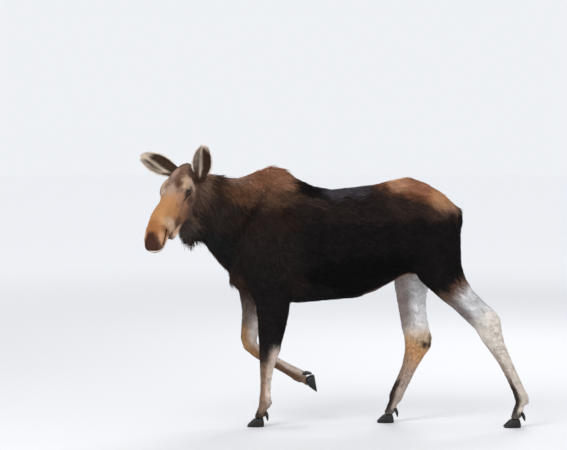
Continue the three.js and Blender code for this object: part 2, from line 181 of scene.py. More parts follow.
def noise(points: np.ndarray, size: float, seed: int) -> np.ndarray:
    """Smooth noise from 0 to 1 over points in space.

    Args:
        points: The places, one row each.
        size: How far apart its lumps are.
        seed: Which pattern.

    Returns:
        One value for each point.
    """
    cell = points / size + SEED_SHIFT * seed
    base = np.floor(cell)
    part = ease(cell - base)
    base = base.astype(np.int64)
    total = np.zeros(len(points))
    for corner in itertools.product((0, 1), repeat=3):
        key = (base + np.array(corner)) @ NOISE_KEYS
        key = (key + SEED_KEY * seed) & NOISE_TOP
        for shift, factor in NOISE_MIXES:
            key = (key ^ (key >> shift)) * factor & NOISE_TOP
        weight = np.prod(np.where(np.array(corner) == 1, part, 1.0 - part), axis=1)
        total += weight * (key / NOISE_TOP)
    return total


def to_head(points: np.ndarray) -> np.ndarray:
    """Places in the head's own axes: X back from the nose, Y to its right, Z up off the face."""
    turn = np.array(HEAD_FRAME.to_3x3())
    return (points - np.array(POLL)) @ turn


def to_half_head(points: np.ndarray) -> np.ndarray:
    """Places in the head's own axes, with both sides laid on one.

    Args:
        points: The places, one row each.

    Returns:
        The places, with Y never below 0.
    """
    own = to_head(points)
    own[:, 1] = np.abs(own[:, 1])
    return own


def head_vectors(vectors: np.ndarray) -> np.ndarray:
    """Directions in the head's axes turned into the world's."""
    return vectors @ np.array(HEAD_FRAME.to_3x3()).T


def linear(tone: Triple) -> np.ndarray:
    """A screen colour, 0 to 255, as light, by the sRGB curve."""
    c = np.array(tone, float) / 255.0
    return np.where(c <= 0.04045, c / 12.92, ((c + 0.055) / 1.055) ** 2.4)


def plain(tone: Triple, count: int) -> np.ndarray:
    """One tone, as light, in every row."""
    return np.tile(linear(tone), (count, 1))


def blend(colour: np.ndarray, tone: Triple, mask: np.ndarray) -> np.ndarray:
    """Lays a tone over a colour where the mask is 1."""
    return colour + (linear(tone) - colour) * np.clip(mask, 0.0, 1.0)[:, None]


def share_of(weights: np.ndarray, *regions: Region) -> np.ndarray:
    """How much each point belongs to some regions together."""
    return sum(weights[:, region.value] for region in regions)


def line_distance(own: np.ndarray, line: tuple[Triple, ...], across: float = 1.0) -> np.ndarray:
    """How far points are from a broken line.

    Args:
        own: The places, one row each.
        line: The line's points, in the same axes.
        across: What distance along Y counts for, against 1 along X and Z.

    Returns:
        One distance for each point.
    """
    near = np.full(len(own), np.inf)
    scale = np.array([1.0, across, 1.0])
    own, rows = own * scale, np.array(line) * scale
    for a, b in zip(rows, rows[1:]):
        t = np.clip((own - a) @ (b - a) / ((b - a) @ (b - a)), 0.0, 1.0)
        near = np.minimum(near, np.linalg.norm(own - a - t[:, None] * (b - a), axis=1))
    return near


def curve_rows(rows: np.ndarray, steps: int) -> np.ndarray:
    """Rows of numbers made finer by a smooth curve through them.

    Args:
        rows: One row of numbers for each station.
        steps: How many new rows each stretch between two stations gives.

    Returns:
        The finer rows, with both ends kept.
    """
    ends = np.vstack([2 * rows[0] - rows[1], rows, 2 * rows[-1] - rows[-2]])
    out = []
    for i in range(1, len(ends) - 2):
        a, b, c, d = ends[i - 1 : i + 3]
        square, cube = 2 * a - 5 * b + 4 * c - d, 3 * b - a - 3 * c + d
        for t in np.arange(steps) / steps:
            out.append(0.5 * (2 * b + (c - a) * t + square * t**2 + cube * t**3))
    out.append(rows[-1])
    return np.array(out)


class Web:
    """Which vertices of a mesh are joined by an edge, to smooth values over its surface."""

    def __init__(self, mesh: bpy.types.Mesh) -> None:
        """Reads the edges of a mesh.

        Args:
            mesh: The mesh.
        """
        edges = np.empty(len(mesh.edges) * 2, np.int32)
        mesh.edges.foreach_get("vertices", edges)
        edges = edges.reshape(-1, 2)
        self.count = len(mesh.vertices)
        self.near = np.concatenate([edges[:, 0], edges[:, 1]])
        self.far = np.concatenate([edges[:, 1], edges[:, 0]])
        self.degree = np.maximum(np.bincount(self.near, minlength=self.count), 1)

    def mean(self, values: np.ndarray) -> np.ndarray:
        """The mean of each vertex's neighbours.

        Args:
            values: A value or a row for each vertex.

        Returns:
            Values of the same shape.
        """
        columns = values.reshape(self.count, -1)
        sums = [np.bincount(self.near, weights=c[self.far], minlength=self.count) for c in columns.T]
        return (np.stack(sums, axis=1) / self.degree[:, None]).reshape(values.shape)

    def smooth(self, values: np.ndarray, rounds: int, share: np.ndarray | float = 0.5) -> np.ndarray:
        """Values drawn towards their neighbours', round after round.

        Args:
            values: A value or a row for each vertex.
            rounds: How often they are drawn.
            share: How much of the way they go each time.

        Returns:
            Values of the same shape.
        """
        for _ in range(rounds):
            values = values + (self.mean(values) - values) * share
        return values


def points_of(mesh: bpy.types.Mesh, what: str = "co") -> np.ndarray:
    """A mesh's vertices, or their normals, as rows.

    Args:
        mesh: The mesh.
        what: co for places, anything else for normals.

    Returns:
        One row for each vertex.
    """
    out = np.empty(len(mesh.vertices) * 3, np.float32)
    if what == "co":
        mesh.vertices.foreach_get("co", out)
    else:
        mesh.vertex_normals.foreach_get("vector", out)
    return out.reshape(-1, 3).astype(float)


def put_points(mesh: bpy.types.Mesh, points: np.ndarray) -> None:
    """Moves a mesh's vertices."""
    mesh.vertices.foreach_set("co", points.astype(np.float32).ravel())
    mesh.update()


def new_object(name: str, mesh: bpy.types.Mesh) -> bpy.types.Object:
    """An object for a mesh, in the scene.

    Args:
        name: What it is called.
        mesh: Its mesh.

    Returns:
        The object.
    """
    obj = bpy.data.objects.new(name, mesh)
    bpy.context.scene.collection.objects.link(obj)
    return obj


def shade_smooth(mesh: bpy.types.Mesh) -> None:
    """Rounds the look of every face."""
    mesh.polygons.foreach_set("use_smooth", np.ones(len(mesh.polygons), bool))


@contextmanager
def edit(mesh: bpy.types.Mesh) -> Iterator[bmesh.types.BMesh]:
    """Opens a mesh for changes, and writes them back when they are made.

    Args:
        mesh: The mesh.
    """
    bm = bmesh.new()
    bm.from_mesh(mesh)
    yield bm
    bm.to_mesh(mesh)
    bm.free()


def ring_tube(bm: bmesh.types.BMesh, rings: list[np.ndarray]) -> None:
    """A closed tube: circles laid at each ring's points, bridged, with both ends filled.

    Args:
        bm: The mesh that the tube is added to.
        rings: The points of each ring.
    """
    edges = []
    for ring in rings:
        circle = bmesh.ops.create_circle(bm, segments=len(ring), radius=1.0)["verts"]
        for vert, place in zip(circle, ring):
            vert.co = place
        edges.append(list({e for v in circle for e in v.link_edges}))
    for lower, upper in zip(edges, edges[1:]):
        bmesh.ops.bridge_loops(bm, edges=lower + upper)
    for end in (edges[0], edges[-1]):
        bmesh.ops.holes_fill(bm, edges=end)
    bmesh.ops.recalc_face_normals(bm, faces=bm.faces)


# ---- limbs -------------------------------------------------------------------------------------
def ahead_of(axis: np.ndarray) -> np.ndarray:
    """The way forward that is square to each direction."""
    return unit(np.array([-1.0, 0.0, 0.0]) + axis * axis[:, :1])


@dataclass(frozen=True)
class Limb:
    """A leg as a line of joints: top, elbow or stifle, knee or hock, fetlock, foot."""

    region: Region
    joints: tuple[Triple, Triple, Triple, Triple, Triple]
    outward: float

    def place(self, points: np.ndarray) -> tuple[np.ndarray, np.ndarray, np.ndarray]:
        """Where points are on the limb.

        Args:
            points: The places, one row each.

        Returns:
            How far down the limb each is, from 0 at the top to 4 at the foot, the limb's direction
            there, and the vector from its middle line to the point.
        """
        joints = np.array(self.joints)
        best = np.full(len(points), np.inf)
        reach = np.zeros(len(points))
        axis, off = np.zeros((len(points), 3)), np.zeros((len(points), 3))
        last = len(joints) - 2
        for i, (a, b) in enumerate(zip(joints, joints[1:])):
            line = b - a
            t = ((points - a) @ line) / (line @ line)
            # the first and last bones count on past the limb's ends
            held = np.clip(t, 0.0 if i else -1.0, 1.0 if i < last else 2.0)
            apart = points - a - held[:, None] * line
            size = np.linalg.norm(apart, axis=1)
            near = size < best
            best[near] = size[near]
            reach[near] = i + held[near]
            axis[near] = line / np.linalg.norm(line)
            off[near] = apart[near]
        return reach, axis, off


LIMB_LINES = {
    Region.FORE_LEFT: Limb(
        Region.FORE_LEFT,
        (
            (-0.47, 0.0, 1.40), (-0.43, -0.018, 0.95), (-0.436, 0.01, 0.54),
            (-0.469, 0.046, 0.168), (-0.53, 0.049, 0.02),
        ),
        -1.0,
    ),
    Region.FORE_RIGHT: Limb(
        Region.FORE_RIGHT,
        (
            (-0.48, 0.235, 1.40), (-0.50, 0.259, 0.95), (-0.566, 0.250, 0.56),
            (-0.235, 0.239, 0.320), (-0.155, 0.237, 0.272),
        ),
        1.0,
    ),
    Region.HIND_LEFT: Limb(
        Region.HIND_LEFT,
        (
            (0.62, -0.012, 1.37), (0.68, -0.025, 1.07), (1.01, -0.007, 0.69),
            (1.256, 0.009, 0.193), (1.195, 0.01, 0.02),
        ),
        -1.0,
    ),
    Region.HIND_RIGHT: Limb(
        Region.HIND_RIGHT,
        (
            (0.58, 0.248, 1.37), (0.545, 0.263, 1.05), (0.567, 0.25, 0.59),
            (0.423, 0.238, 0.184), (0.353, 0.238, 0.02),
        ),
        1.0,
    ),
}


# ---- ears --------------------------------------------------------------------------------------
@dataclass(frozen=True)
class EarShape:
    """An ear: a leaf rolled into a scoop, solid at its root and hollow on its open side."""

    root: Vector
    tip: Vector
    open: Vector
    length: float = 0.245
    half_width: float = 0.069
    rim: float = 0.07
    around: int = 44
    steps: int = 6
    # share of the length, set back in mm, share of the half width, hollow and depth behind in mm
    rows: tuple[tuple[float, ...], ...] = (
        (-0.16, 0.0, 0.42, 22, 24),
        (0.02, 2.0, 0.58, 18, 30),
        (0.18, -4.0, 0.84, -14, 38),
        (0.36, -6.0, 0.98, -26, 40),
        (0.55, -4.0, 0.96, -22, 34),
        (0.74, 0.0, 0.80, -14, 25),
        (0.90, 6.0, 0.52, -6, 15),
        (0.975, 10.0, 0.24, 0, 8),
        (1.0, 12.0, 0.05, 2, 3),
    )

    def axes(self) -> np.ndarray:
        """The ear's own axes as rows: along it, out of its open side, and across.

        Returns:
            Three rows, each of length 1.
        """
        along = (self.tip - self.root).normalized()
        up = (self.open - along * self.open.dot(along)).normalized()
        return np.array([along, up, up.cross(along)])

    def local(self, points: np.ndarray) -> np.ndarray:
        """Places as shares: along the ear, then out of it and across it by its half width."""
        own = (points - np.array(self.root)) @ self.axes().T
        return own / np.array([self.length, self.half_width, self.half_width])

    def add_to(self, bm: bmesh.types.BMesh) -> None:
        """Lofts the ear.

        Args:
            bm: The mesh that the ear is added to.
        """
        along, up, across = self.axes()
        angles = np.linspace(0, 2 * math.pi, self.around, endpoint=False)
        rings = []
        for share, back, wide, hollow, depth in curve_rows(np.array(self.rows), self.steps):
            inner = np.sin(angles) > TINY
            reach = np.where(inner, (1 - self.rim) * wide, wide) * self.half_width
            tall = np.where(inner, hollow, depth) * MILLIMETRE * np.sin(angles)
            middle = np.array(self.root) + along * share * self.length - up * back * MILLIMETRE
            rings.append(middle + np.outer(reach * np.cos(angles), across) + np.outer(tall, up))
        ring_tube(bm, rings)


EAR_SHAPES = {
    Region.EAR_LEFT: EarShape(
        Vector((-0.89924, -0.0712, 1.690)),
        Vector((-0.87324, -0.1912, 1.862)),
        Vector((-0.16, -0.95, -0.3)),
    ),
    Region.EAR_RIGHT: EarShape(
        Vector((-1.08024, 0.0328, 1.722)),
        Vector((-1.32624, 0.0548, 1.836)),
        Vector((0.05, -0.95, 0.1)),
    ),
}


# ---- the winter coat's measures ----------------------------------------------------------------
# the columns of a row of measures
DEPTH, LENGTH, WIDTH, RISE, DENSITY = range(5)


@dataclass(frozen=True)
class Fur:
    """The coat at one place: how deep, long, wide, raised and dense its tufts are."""

    depth: float
    length: float
    width: float
    rise: float
    density: float

    def row(self) -> np.ndarray:
        """The measures as numbers in a row."""
        return np.array([self.depth, self.length, self.width, self.rise, self.density])


FUR = {
    Region.HEAD: Fur(0.002, 0.011, 0.0014, 0.0011, 37000),
    Region.BELL: Fur(0.010, 0.070, 0.0042, 0.010, 26000),
    Region.NECK: Fur(0.014, 0.058, 0.0042, 0.012, 24000),
    Region.TRUNK: Fur(0.011, 0.046, 0.0040, 0.009, 21500),
    Region.TAIL: Fur(0.009, 0.032, 0.0036, 0.004, 26000),
    Region.EAR_LEFT: Fur(0.0, 0.015, 0.0022, 0.003, 52000),
    Region.EAR_RIGHT: Fur(0.0, 0.015, 0.0022, 0.003, 52000),
}
UPPER_LIMB_FUR = Fur(0.008, 0.032, 0.0034, 0.006, 24000)
LOWER_LIMB_FUR = Fur(0.003, 0.017, 0.0026, 0.0028, 30000)


@dataclass(frozen=True)
class Shag:
    """A place where the coat is longer or shorter than round it."""

    centre: Triple
    radii: Triple
    longer: float
    higher: float


SHAGS = (
    Shag((-0.43, MIDLINE, 1.76), (0.30, 0.16, 0.16), 1.15, 0.75),  # the crest of the hump
    Shag((-0.17, MIDLINE, 1.62), (0.17, 0.14, 0.10), 1.15, 0.90),  # behind the hump
    Shag((-0.86, 0.06, 1.62), (0.20, 0.12, 0.14), 1.1, 1.2),  # the mane
    Shag((0.15, MIDLINE, 1.62), (0.42, 0.2, 0.12), 0.75, 0.75),  # the loins
    Shag((0.56, MIDLINE, 1.62), (0.3, 0.3, 0.2), 0.70, 0.65),  # the rump
    Shag((0.45, MIDLINE, 0.98), (0.35, 0.3, 0.12), 0.75, 0.8),  # the groin
    Shag((-0.64, MIDLINE, 1.05), (0.2, 0.25, 0.2), 1.2, 1.1),  # the brisket
)

SHAG_EDGE = (1.25, 0.35)
SHAG_DEPTH = 0.6  # how much of the change in height goes into the depth
LOWER_LIMB_STARTS = (1.35, 2.15)
MUZZLE_STARTS = (-0.40, -0.60)
MUZZLE_SHORTER = 0.45
THROAT_STARTS = (-0.12, -0.21)
THROAT_LONGER = 1.6
THROAT_HIGHER = 2.2


def fur_measures(points: np.ndarray, weights: np.ndarray) -> np.ndarray:
    """The coat's measures at each point.

    Args:
        points: The places, one row each.
        weights: How much each point belongs to each region.

    Returns:
        Depth, length, width, rise and density, one row for each point.
    """
    out = np.zeros((len(points), 5))
    for region in Region:
        share = share_of(weights, region)[:, None]
        if region in LIMB_LINES:
            reach, _, _ = LIMB_LINES[region].place(points)
            low = smoothstep(*LOWER_LIMB_STARTS, reach)[:, None]
            out += share * (UPPER_LIMB_FUR.row() * (1 - low) + LOWER_LIMB_FUR.row() * low)
        else:
            out += share * FUR[region].row()
    for shag in SHAGS:
        away = np.linalg.norm((points - np.array(shag.centre)) / np.array(shag.radii), axis=1)
        strength = smoothstep(*SHAG_EDGE, away) * share_of(weights, Region.NECK, Region.TRUNK)
        out[:, LENGTH] *= 1 + (shag.longer - 1) * strength
        out[:, RISE] *= 1 + (shag.higher - 1) * strength
        out[:, DEPTH] *= 1 + (shag.higher - 1) * SHAG_DEPTH * strength
    own, head = to_head(points), share_of(weights, Region.HEAD)
    muzzle = head * smoothstep(*MUZZLE_STARTS, own[:, 0])
    out[:, LENGTH] *= 1 - MUZZLE_SHORTER * muzzle
    out[:, RISE] *= 1 - MUZZLE_SHORTER * muzzle
    throat = head * smoothstep(*THROAT_STARTS, own[:, 2]) * (1 - muzzle)
    out[:, LENGTH] *= 1 + THROAT_LONGER * throat
    out[:, RISE] *= 1 + THROAT_HIGHER * throat
    return out


# ---- the skin's own forms ----------------------------------------------------------------------
@dataclass(frozen=True)
class Stroke:
    """A line along which the skin is pushed, in the head's axes or the world's.

    The push is along the surface's normal, or along a direction where one is given.
    """

    line: tuple[Triple, ...]
    radius: float
    push: float
    towards: Triple | None = None


MOUTH_LINE = (
    (-0.375, 0.062, -0.180), (-0.41, 0.058, -0.176), (-0.45, 0.052, -0.160), (-0.475, 0.044, -0.152),
)
NOSTRIL_LINE = (
    (-0.525, 0.076, -0.046), (-0.548, 0.078, -0.056), (-0.580, 0.078, -0.069), (-0.612, 0.074, -0.080),
)
HEAD_STROKES = (
    Stroke(((-0.145, 0.090, -0.012), (-0.185, 0.104, -0.018), (-0.225, 0.098, -0.028)), 0.034, 0.006),  # brow
    Stroke(((-0.255, 0.09, -0.085), (-0.34, 0.08, -0.125)), 0.036, -0.006),  # hollow before the eye
    Stroke(((-0.13, 0.09, -0.14), (-0.20, 0.085, -0.17)), 0.070, 0.006),  # cheek
    Stroke(((-0.25, 0.105, -0.105), (-0.33, 0.09, -0.085)), 0.020, 0.004),  # cheekbone
    Stroke(((-0.30, 0.045, 0.006), (-0.46, 0.050, 0.010)), 0.026, 0.003),  # edge of the nasal bone
    Stroke(((-0.49, 0.07, -0.10), (-0.42, 0.06, -0.155)), 0.034, 0.006),  # upper lip
    Stroke(((-0.545, 0.062, -0.028), (-0.600, 0.066, -0.050)), 0.034, 0.005),  # wing of the nostril
    # edge of the lip below the nostril
    Stroke(((-0.530, 0.080, -0.074), (-0.565, 0.081, -0.090), (-0.610, 0.078, -0.100)), 0.020, 0.005),
    # nostril
    Stroke(
        ((-0.535, 0.078, -0.051), (-0.565, 0.079, -0.063), (-0.602, 0.076, -0.077)),
        0.0115, 0.022, (0.25, -1.0, 0.1),
    ),
    Stroke(((-0.60, 0.0, -0.125), (-0.655, 0.0, -0.085)), 0.012, -0.004),  # cleft of the lip
    Stroke(MOUTH_LINE, 0.0075, -0.009),
    Stroke(((-0.40, 0.04, -0.205), (-0.455, 0.025, -0.195)), 0.022, 0.004),  # lower lip
    Stroke(((-0.06, 0.045, 0.0), (-0.12, 0.05, 0.008)), 0.04, 0.004),  # pedicle knobs
)
BODY_STROKES = (
    Stroke(((-0.32, 0.0, 1.60), (-0.44, 0.0, 1.30), (-0.52, 0.0, 1.16)), 0.075, 0.007),  # shoulder blade
    Stroke(((-0.28, 0.0, 1.30), (-0.33, 0.0, 1.06)), 0.075, -0.008),  # behind the shoulder
    Stroke(((-0.60, 0.0, 1.22), (-0.60, 0.0, 1.14)), 0.07, 0.008),  # point of the shoulder
    Stroke(((-0.345, 0.0, 1.01), (-0.36, 0.0, 0.97)), 0.045, 0.010),  # elbow
    Stroke(((0.34, 0.0, 1.52), (0.44, 0.0, 1.20)), 0.085, -0.009),  # hollow of the flank
    Stroke(((0.43, 0.0, 1.57), (0.49, 0.0, 1.55)), 0.06, 0.008),  # point of the hip
    Stroke(((0.70, 0.0, 1.36), (0.80, 0.0, 1.14), (0.84, 0.0, 1.0)), 0.05, -0.006),  # line of the thigh
)
STROKE_FULL = 0.15  # a stroke is at full strength within this share of its radius


@dataclass(frozen=True)
class Groove:
    """A hollow down both sides of a leg, between bone and tendon.

    It starts and ends over two stretches, counted down the limb as Limb.place does.
    """

    starts: Pair
    ends: Pair
    behind: float
    width: float
    sunk: float

    def sink(self, reach: np.ndarray, behind: np.ndarray) -> np.ndarray:
        """How far the skin sinks, from how far down the limb and how far behind its middle points are."""
        along = smoothstep(*self.starts, reach) * smoothstep(*self.ends, reach)
        return self.sunk * along * bell(behind, self.behind, self.width)


CANNON_GROOVE = Groove((2.2, 2.4), (2.98, 2.8), 0.011, 0.008, 0.0042)
HOCK_GROOVE = Groove((1.35, 1.65), (2.02, 1.85), 0.040, 0.020, 0.012)


@dataclass(frozen=True)
class Box:
    """A box in the head's axes."""

    low: Triple
    high: Triple

    def holds(self, own: np.ndarray) -> np.ndarray:
        """Which points are inside."""
        return ((own > np.array(self.low)) & (own < np.array(self.high))).all(axis=1)


# where the skin is made finer; the last two hold places with both sides laid on one
FINE_HEAD = Box((-math.inf, -0.16, -0.30), (0.0, 0.16, math.inf))
FINE_NOSE = Box((-math.inf, 0.04, -0.135), (-0.50, math.inf, -0.015))
FINE_MOUTH = Box((-0.495, -math.inf, -0.21), (-0.345, math.inf, -0.13))


@dataclass(frozen=True)
class Lids:
    """The lids of both eyes.

    radius is in metres, and place, outward and forward are in the head's axes, on its right side.
    The other lengths are shares of the radius.
    """

    radius: float = 0.023
    place: Triple = (-0.200, 0.093, -0.054)
    outward: Triple = (-0.30, 0.92, 0.16)
    forward: Triple = (-1.0, 0.0, -0.12)
    gap: Pair = (0.94, 0.80)
    lower_lid: float = 0.8
    slant: float = 0.22
    behind: float = -0.2
    near: float = 2.6
    drawn: float = 2.4
    height: float = 1.13
    drop: float = 0.33
    edge: Pair = (1.02, 0.90)
    roll: Triple = (0.07, 1.25, 0.16)
    hold: Pair = (2.1, 1.45)
    far: float = 9.0

    def frames(self) -> list[tuple[np.ndarray, np.ndarray]]:
        """Each eye's centre, and its axes as rows: towards the nose, up and outwards.

        Returns:
            A centre and its axes for the left eye, then for the right.
        """
        out = []
        for side in (-1.0, 1.0):
            mirror = np.array([1.0, side, 1.0])
            centre = np.array(HEAD_FRAME @ Vector(np.array(self.place) * mirror))
            outward = unit(head_vectors(np.array(self.outward) * mirror))
            forward = head_vectors(np.array(self.forward))
            forward = unit(forward - outward * (forward @ outward))
            up = np.cross(outward, forward) * side
            up = up if up @ head_vectors(np.array([0.0, 0.0, 1.0])) > 0 else -up
            out.append((centre, np.array([forward, up, outward])))
        return out

    def opening(self, points: np.ndarray) -> np.ndarray:
        """How far points are from the opening between the lids: 1 is at the lids' edge.

        Args:
            points: The places, one row each.

        Returns:
            One value for each point, and far where no eye is near.
        """
        size = np.full(len(points), self.far)
        wide, tall = self.gap
        for centre, axes in self.frames():
            own = (points - centre) @ axes.T / self.radius
            high = np.where(own[:, 1] > 0, tall, self.lower_lid * tall)
            away = np.hypot(own[:, 0] / wide, own[:, 1] / (high * (1.0 - self.slant * own[:, 0])))
            near = (own[:, 2] > self.behind) & (np.linalg.norm(own, axis=1) < self.near)
            size = np.where(near, np.minimum(size, away), size)
        return size

    def lay(self, points: np.ndarray) -> np.ndarray:
        """Draws the skin over the eyeballs, with an opening between the lids.

        Args:
            points: The places, one row each.

        Returns:
            The places they move to.
        """
        away = self.opening(points)
        rolled, roll_place, roll_width = self.roll
        for centre, axes in self.frames():
            off = points - centre
            size = np.linalg.norm(off, axis=1)
            near = (size < self.drawn * self.radius) & (off @ axes[2] > self.behind * self.radius)
            lid = self.height - self.drop * smoothstep(*self.edge, away)
            lid = lid + rolled * bell(away, roll_place, roll_width)
            hold = smoothstep(*self.hold, away) * near
            target = centre + off / np.maximum(size, TINY)[:, None] * (lid * self.radius)[:, None]
            points = points + (target - points) * hold[:, None]
        return points


@dataclass
class Skin:
    """One skin over head, neck, trunk, tail, ears and legs.

    The solids of flesh are fused, smoothed, drawn in by the coat's depth, and then shaped.
    """

    voxel: float = 0.0115
    swell: float = 0.0012
    rounds: int = 60
    lids: Lids = field(default_factory=Lids)
    fine_eye: float = 0.052
    root_width: float = 1.6
    root_blend: Pair = (0.22, 0.08)
    # how many of the rounds smooth each region, and the legs by how far down they are
    softness: dict[Region, int] = field(
        default_factory=lambda: {
            Region.HEAD: 16,
            Region.BELL: 24,
            Region.NECK: 60,
            Region.TRUNK: 52,
            Region.TAIL: 6,
        }
    )
    leg_reach: tuple[float, ...] = (0.6, 1.2, 1.8, 2.3)
    leg_rounds: tuple[float, ...] = (46, 24, 9, 6)
    # how many rounds even out the softness, the regions and the height over the solids
    soft_rounds: int = 12
    region_rounds: int = 6
    height_rounds: int = 14
    # how many rounds follow each splitting of faces, and round the roots of the ears
    head_rounds: int = 3
    face_rounds: int = 2
    root_rounds: int = 6

    def __post_init__(self) -> None:
        """Prepares the search for the nearest solid."""
        verts, faces, owner = [], [], []
        for name in (*flesh_nodes(), *EYE_NODES):
            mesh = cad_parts[name].data
            start = len(verts)
            verts += [v.co.copy() for v in mesh.vertices]
            faces += [[start + i for i in p.vertices] for p in mesh.polygons]
            owner += [region_of(name).value] * len(mesh.polygons)
        self.tree = BVHTree.FromPolygons(verts, faces)
        self.owner = np.array(owner)

    def classify(self, points: np.ndarray) -> tuple[np.ndarray, np.ndarray]:
        """Finds each point's region and how far it stands out of the solids.

        Args:
            points: The places, one row each.

        Returns:
            The regions as numbers, and the heights in metres.
        """
        region, height = np.zeros(len(points), int), np.zeros(len(points))
        for i, point in enumerate(points):
            place, normal, face, size = self.tree.find_nearest(point)
            region[i] = self.owner[face]
            height[i] = math.copysign(size, (Vector(point) - place).dot(normal))
        return region, height

    def evaluated(self, obj: bpy.types.Object) -> bpy.types.Mesh:
        """A new mesh of what an object is after its modifiers."""
        return bpy.data.meshes.new_from_object(obj.evaluated_get(bpy.context.evaluated_depsgraph_get()))

    def fuse(self) -> bpy.types.Mesh:
        """Joins copies of the solids of flesh and remeshes them as one even skin.

        Returns:
            The skin, still hard-edged, without ears.
        """
        mesh = bpy.data.meshes.new("rough")
        with edit(mesh) as bm:
            for name in (*flesh_nodes(), *EYE_NODES):
                if region_of(name) in EARS:
                    continue
                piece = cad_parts[name].data.copy()
                with edit(piece) as one:
                    bmesh.ops.remove_doubles(one, verts=one.verts, dist=WELD)
                    one.normal_update()
                    for vert in one.verts:
                        vert.co += vert.normal * self.swell
                bm.from_mesh(piece)
                bpy.data.meshes.remove(piece)
        rough = new_object("rough", mesh)
        remesh = rough.modifiers.new("Even", "REMESH")
        remesh.mode, remesh.voxel_size = "VOXEL", self.voxel
        made = self.evaluated(rough)
        bpy.data.objects.remove(rough)
        return made

    def soften(self, mesh: bpy.types.Mesh) -> None:
        """Smooths the facets away, and sets the skin inside the solids by the coat's depth.

        Args:
            mesh: The skin.
        """
        points = points_of(mesh)
        region, _ = self.classify(points)
        web = Web(mesh)
        rounds = np.array([self.softness.get(r, 0) for r in Region], float)[region]
        for limb in LIMBS:
            mine = region == limb.value
            reach, _, _ = LIMB_LINES[limb].place(points[mine])
            rounds[mine] = np.interp(reach, self.leg_reach, self.leg_rounds)
        share = web.smooth(rounds, self.soft_rounds) / self.rounds * 0.5
        points = web.smooth(points, self.rounds, share[:, None])
        _, height = self.classify(points)
        weights = web.smooth(np.eye(len(Region))[region], self.region_rounds)
        error = web.smooth(-fur_measures(points, weights)[:, DEPTH] - height, self.height_rounds)
        put_points(mesh, points)
        put_points(mesh, points + points_of(mesh, "normal") * error[:, None])

    def refine(self, mesh: bpy.types.Mesh, chosen: np.ndarray, rounds: int) -> None:
        """Splits the faces whose vertices are all chosen, and rounds what it split.

        Args:
            mesh: The skin.
            chosen: Whether each vertex is chosen.
            rounds: How many rounds of smoothing follow.
        """
        with edit(mesh) as bm:
            bm.verts.ensure_lookup_table()
            faces = [f for f in bm.faces if all(chosen[v.index] for v in f.verts)]
            edges = list({e for f in faces for e in f.edges})
            bmesh.ops.subdivide_edges(bm, edges=edges, cuts=1, use_grid_fill=True)
            bmesh.ops.triangulate(bm, faces=[f for f in bm.faces if len(f.verts) > 4])
        added = np.zeros(len(mesh.vertices))
        added[len(chosen) :] = 1.0
        added[: len(chosen)] = chosen
        web = Web(mesh)
        share = 0.5 * web.smooth(added, 2)
        put_points(mesh, web.smooth(points_of(mesh), rounds, share[:, None]))

    def push(self, mesh: bpy.types.Mesh, stroke: Stroke, headwise: bool) -> None:
        """Pushes the skin along one stroke, and along its mirror image.

        Args:
            mesh: The skin.
            stroke: The stroke.
            headwise: Whether its line is in the head's axes, or in the world's, seen from the side.
        """
        points, normals = points_of(mesh), points_of(mesh, "normal")
        if headwise:
            side = np.sign(to_head(points)[:, 1])
            own = to_half_head(points)
        else:
            own = points * np.array([1.0, 0.0, 1.0])
        near = line_distance(own, stroke.line)
        weight = smoothstep(stroke.radius, STROKE_FULL * stroke.radius, near)
        if stroke.towards is not None:
            towards = np.tile(unit(np.array(stroke.towards)), (len(points), 1))
            towards[:, 1] *= side
            normals = head_vectors(towards)
        elif not headwise:
            weight = weight * np.abs(normals[:, 1])
        put_points(mesh, points + normals * (weight * stroke.push)[:, None])

    def tendons(self, mesh: bpy.types.Mesh) -> None:
        """Sinks the lines between bone and tendon on both sides of each leg.

        Args:
            mesh: The skin.
        """
        points, normals = points_of(mesh), points_of(mesh, "normal")
        region, _ = self.classify(points)
        moved = points.copy()
        for name, limb in LIMB_LINES.items():
            reach, axis, off = limb.place(points)
            behind = -(off * ahead_of(axis)).sum(axis=1)
            sink = CANNON_GROOVE.sink(reach, behind)
            if name not in FORE_LIMBS:
                sink = sink + HOCK_GROOVE.sink(reach, behind)
            mine = (region == name.value) * np.abs(normals[:, 1])
            moved = moved - normals * (sink * mine)[:, None]
        put_points(mesh, moved)

    def join_ears(self, mesh: bpy.types.Mesh) -> bpy.types.Mesh:
        """Grows the ears out of the skin as one surface.

        Args:
            mesh: The skin.

        Returns:
            The skin with both ears.
        """
        ears = bpy.data.meshes.new("ears")
        with edit(ears) as bm:
            for ear in EAR_SHAPES.values():
                ear.add_to(bm)
        head, both = new_object("head", mesh), new_object("both_ears", ears)
        union = head.modifiers.new("Union", "BOOLEAN")
        union.operation, union.solver, union.object = "UNION", "MANIFOLD", both
        made = self.evaluated(head)
        LOG.info("ears joined: %d vertices more", len(made.vertices) - len(mesh.vertices))
        bpy.data.objects.remove(head)
        bpy.data.objects.remove(both)
        return made

    def blend_roots(self, mesh: bpy.types.Mesh) -> None:
        """Rounds the crease where the ears leave the head.

        Args:
            mesh: The skin with both ears.
        """
        points = points_of(mesh)
        root = np.zeros(len(points))
        for ear in EAR_SHAPES.values():
            share = ear.local(points)
            close = np.linalg.norm(share[:, 1:], axis=1) < self.root_width
            root = np.maximum(root, smoothstep(*self.root_blend, np.abs(share[:, 0])) * close)
        put_points(mesh, Web(mesh).smooth(points, self.root_rounds, (0.5 * root)[:, None]))

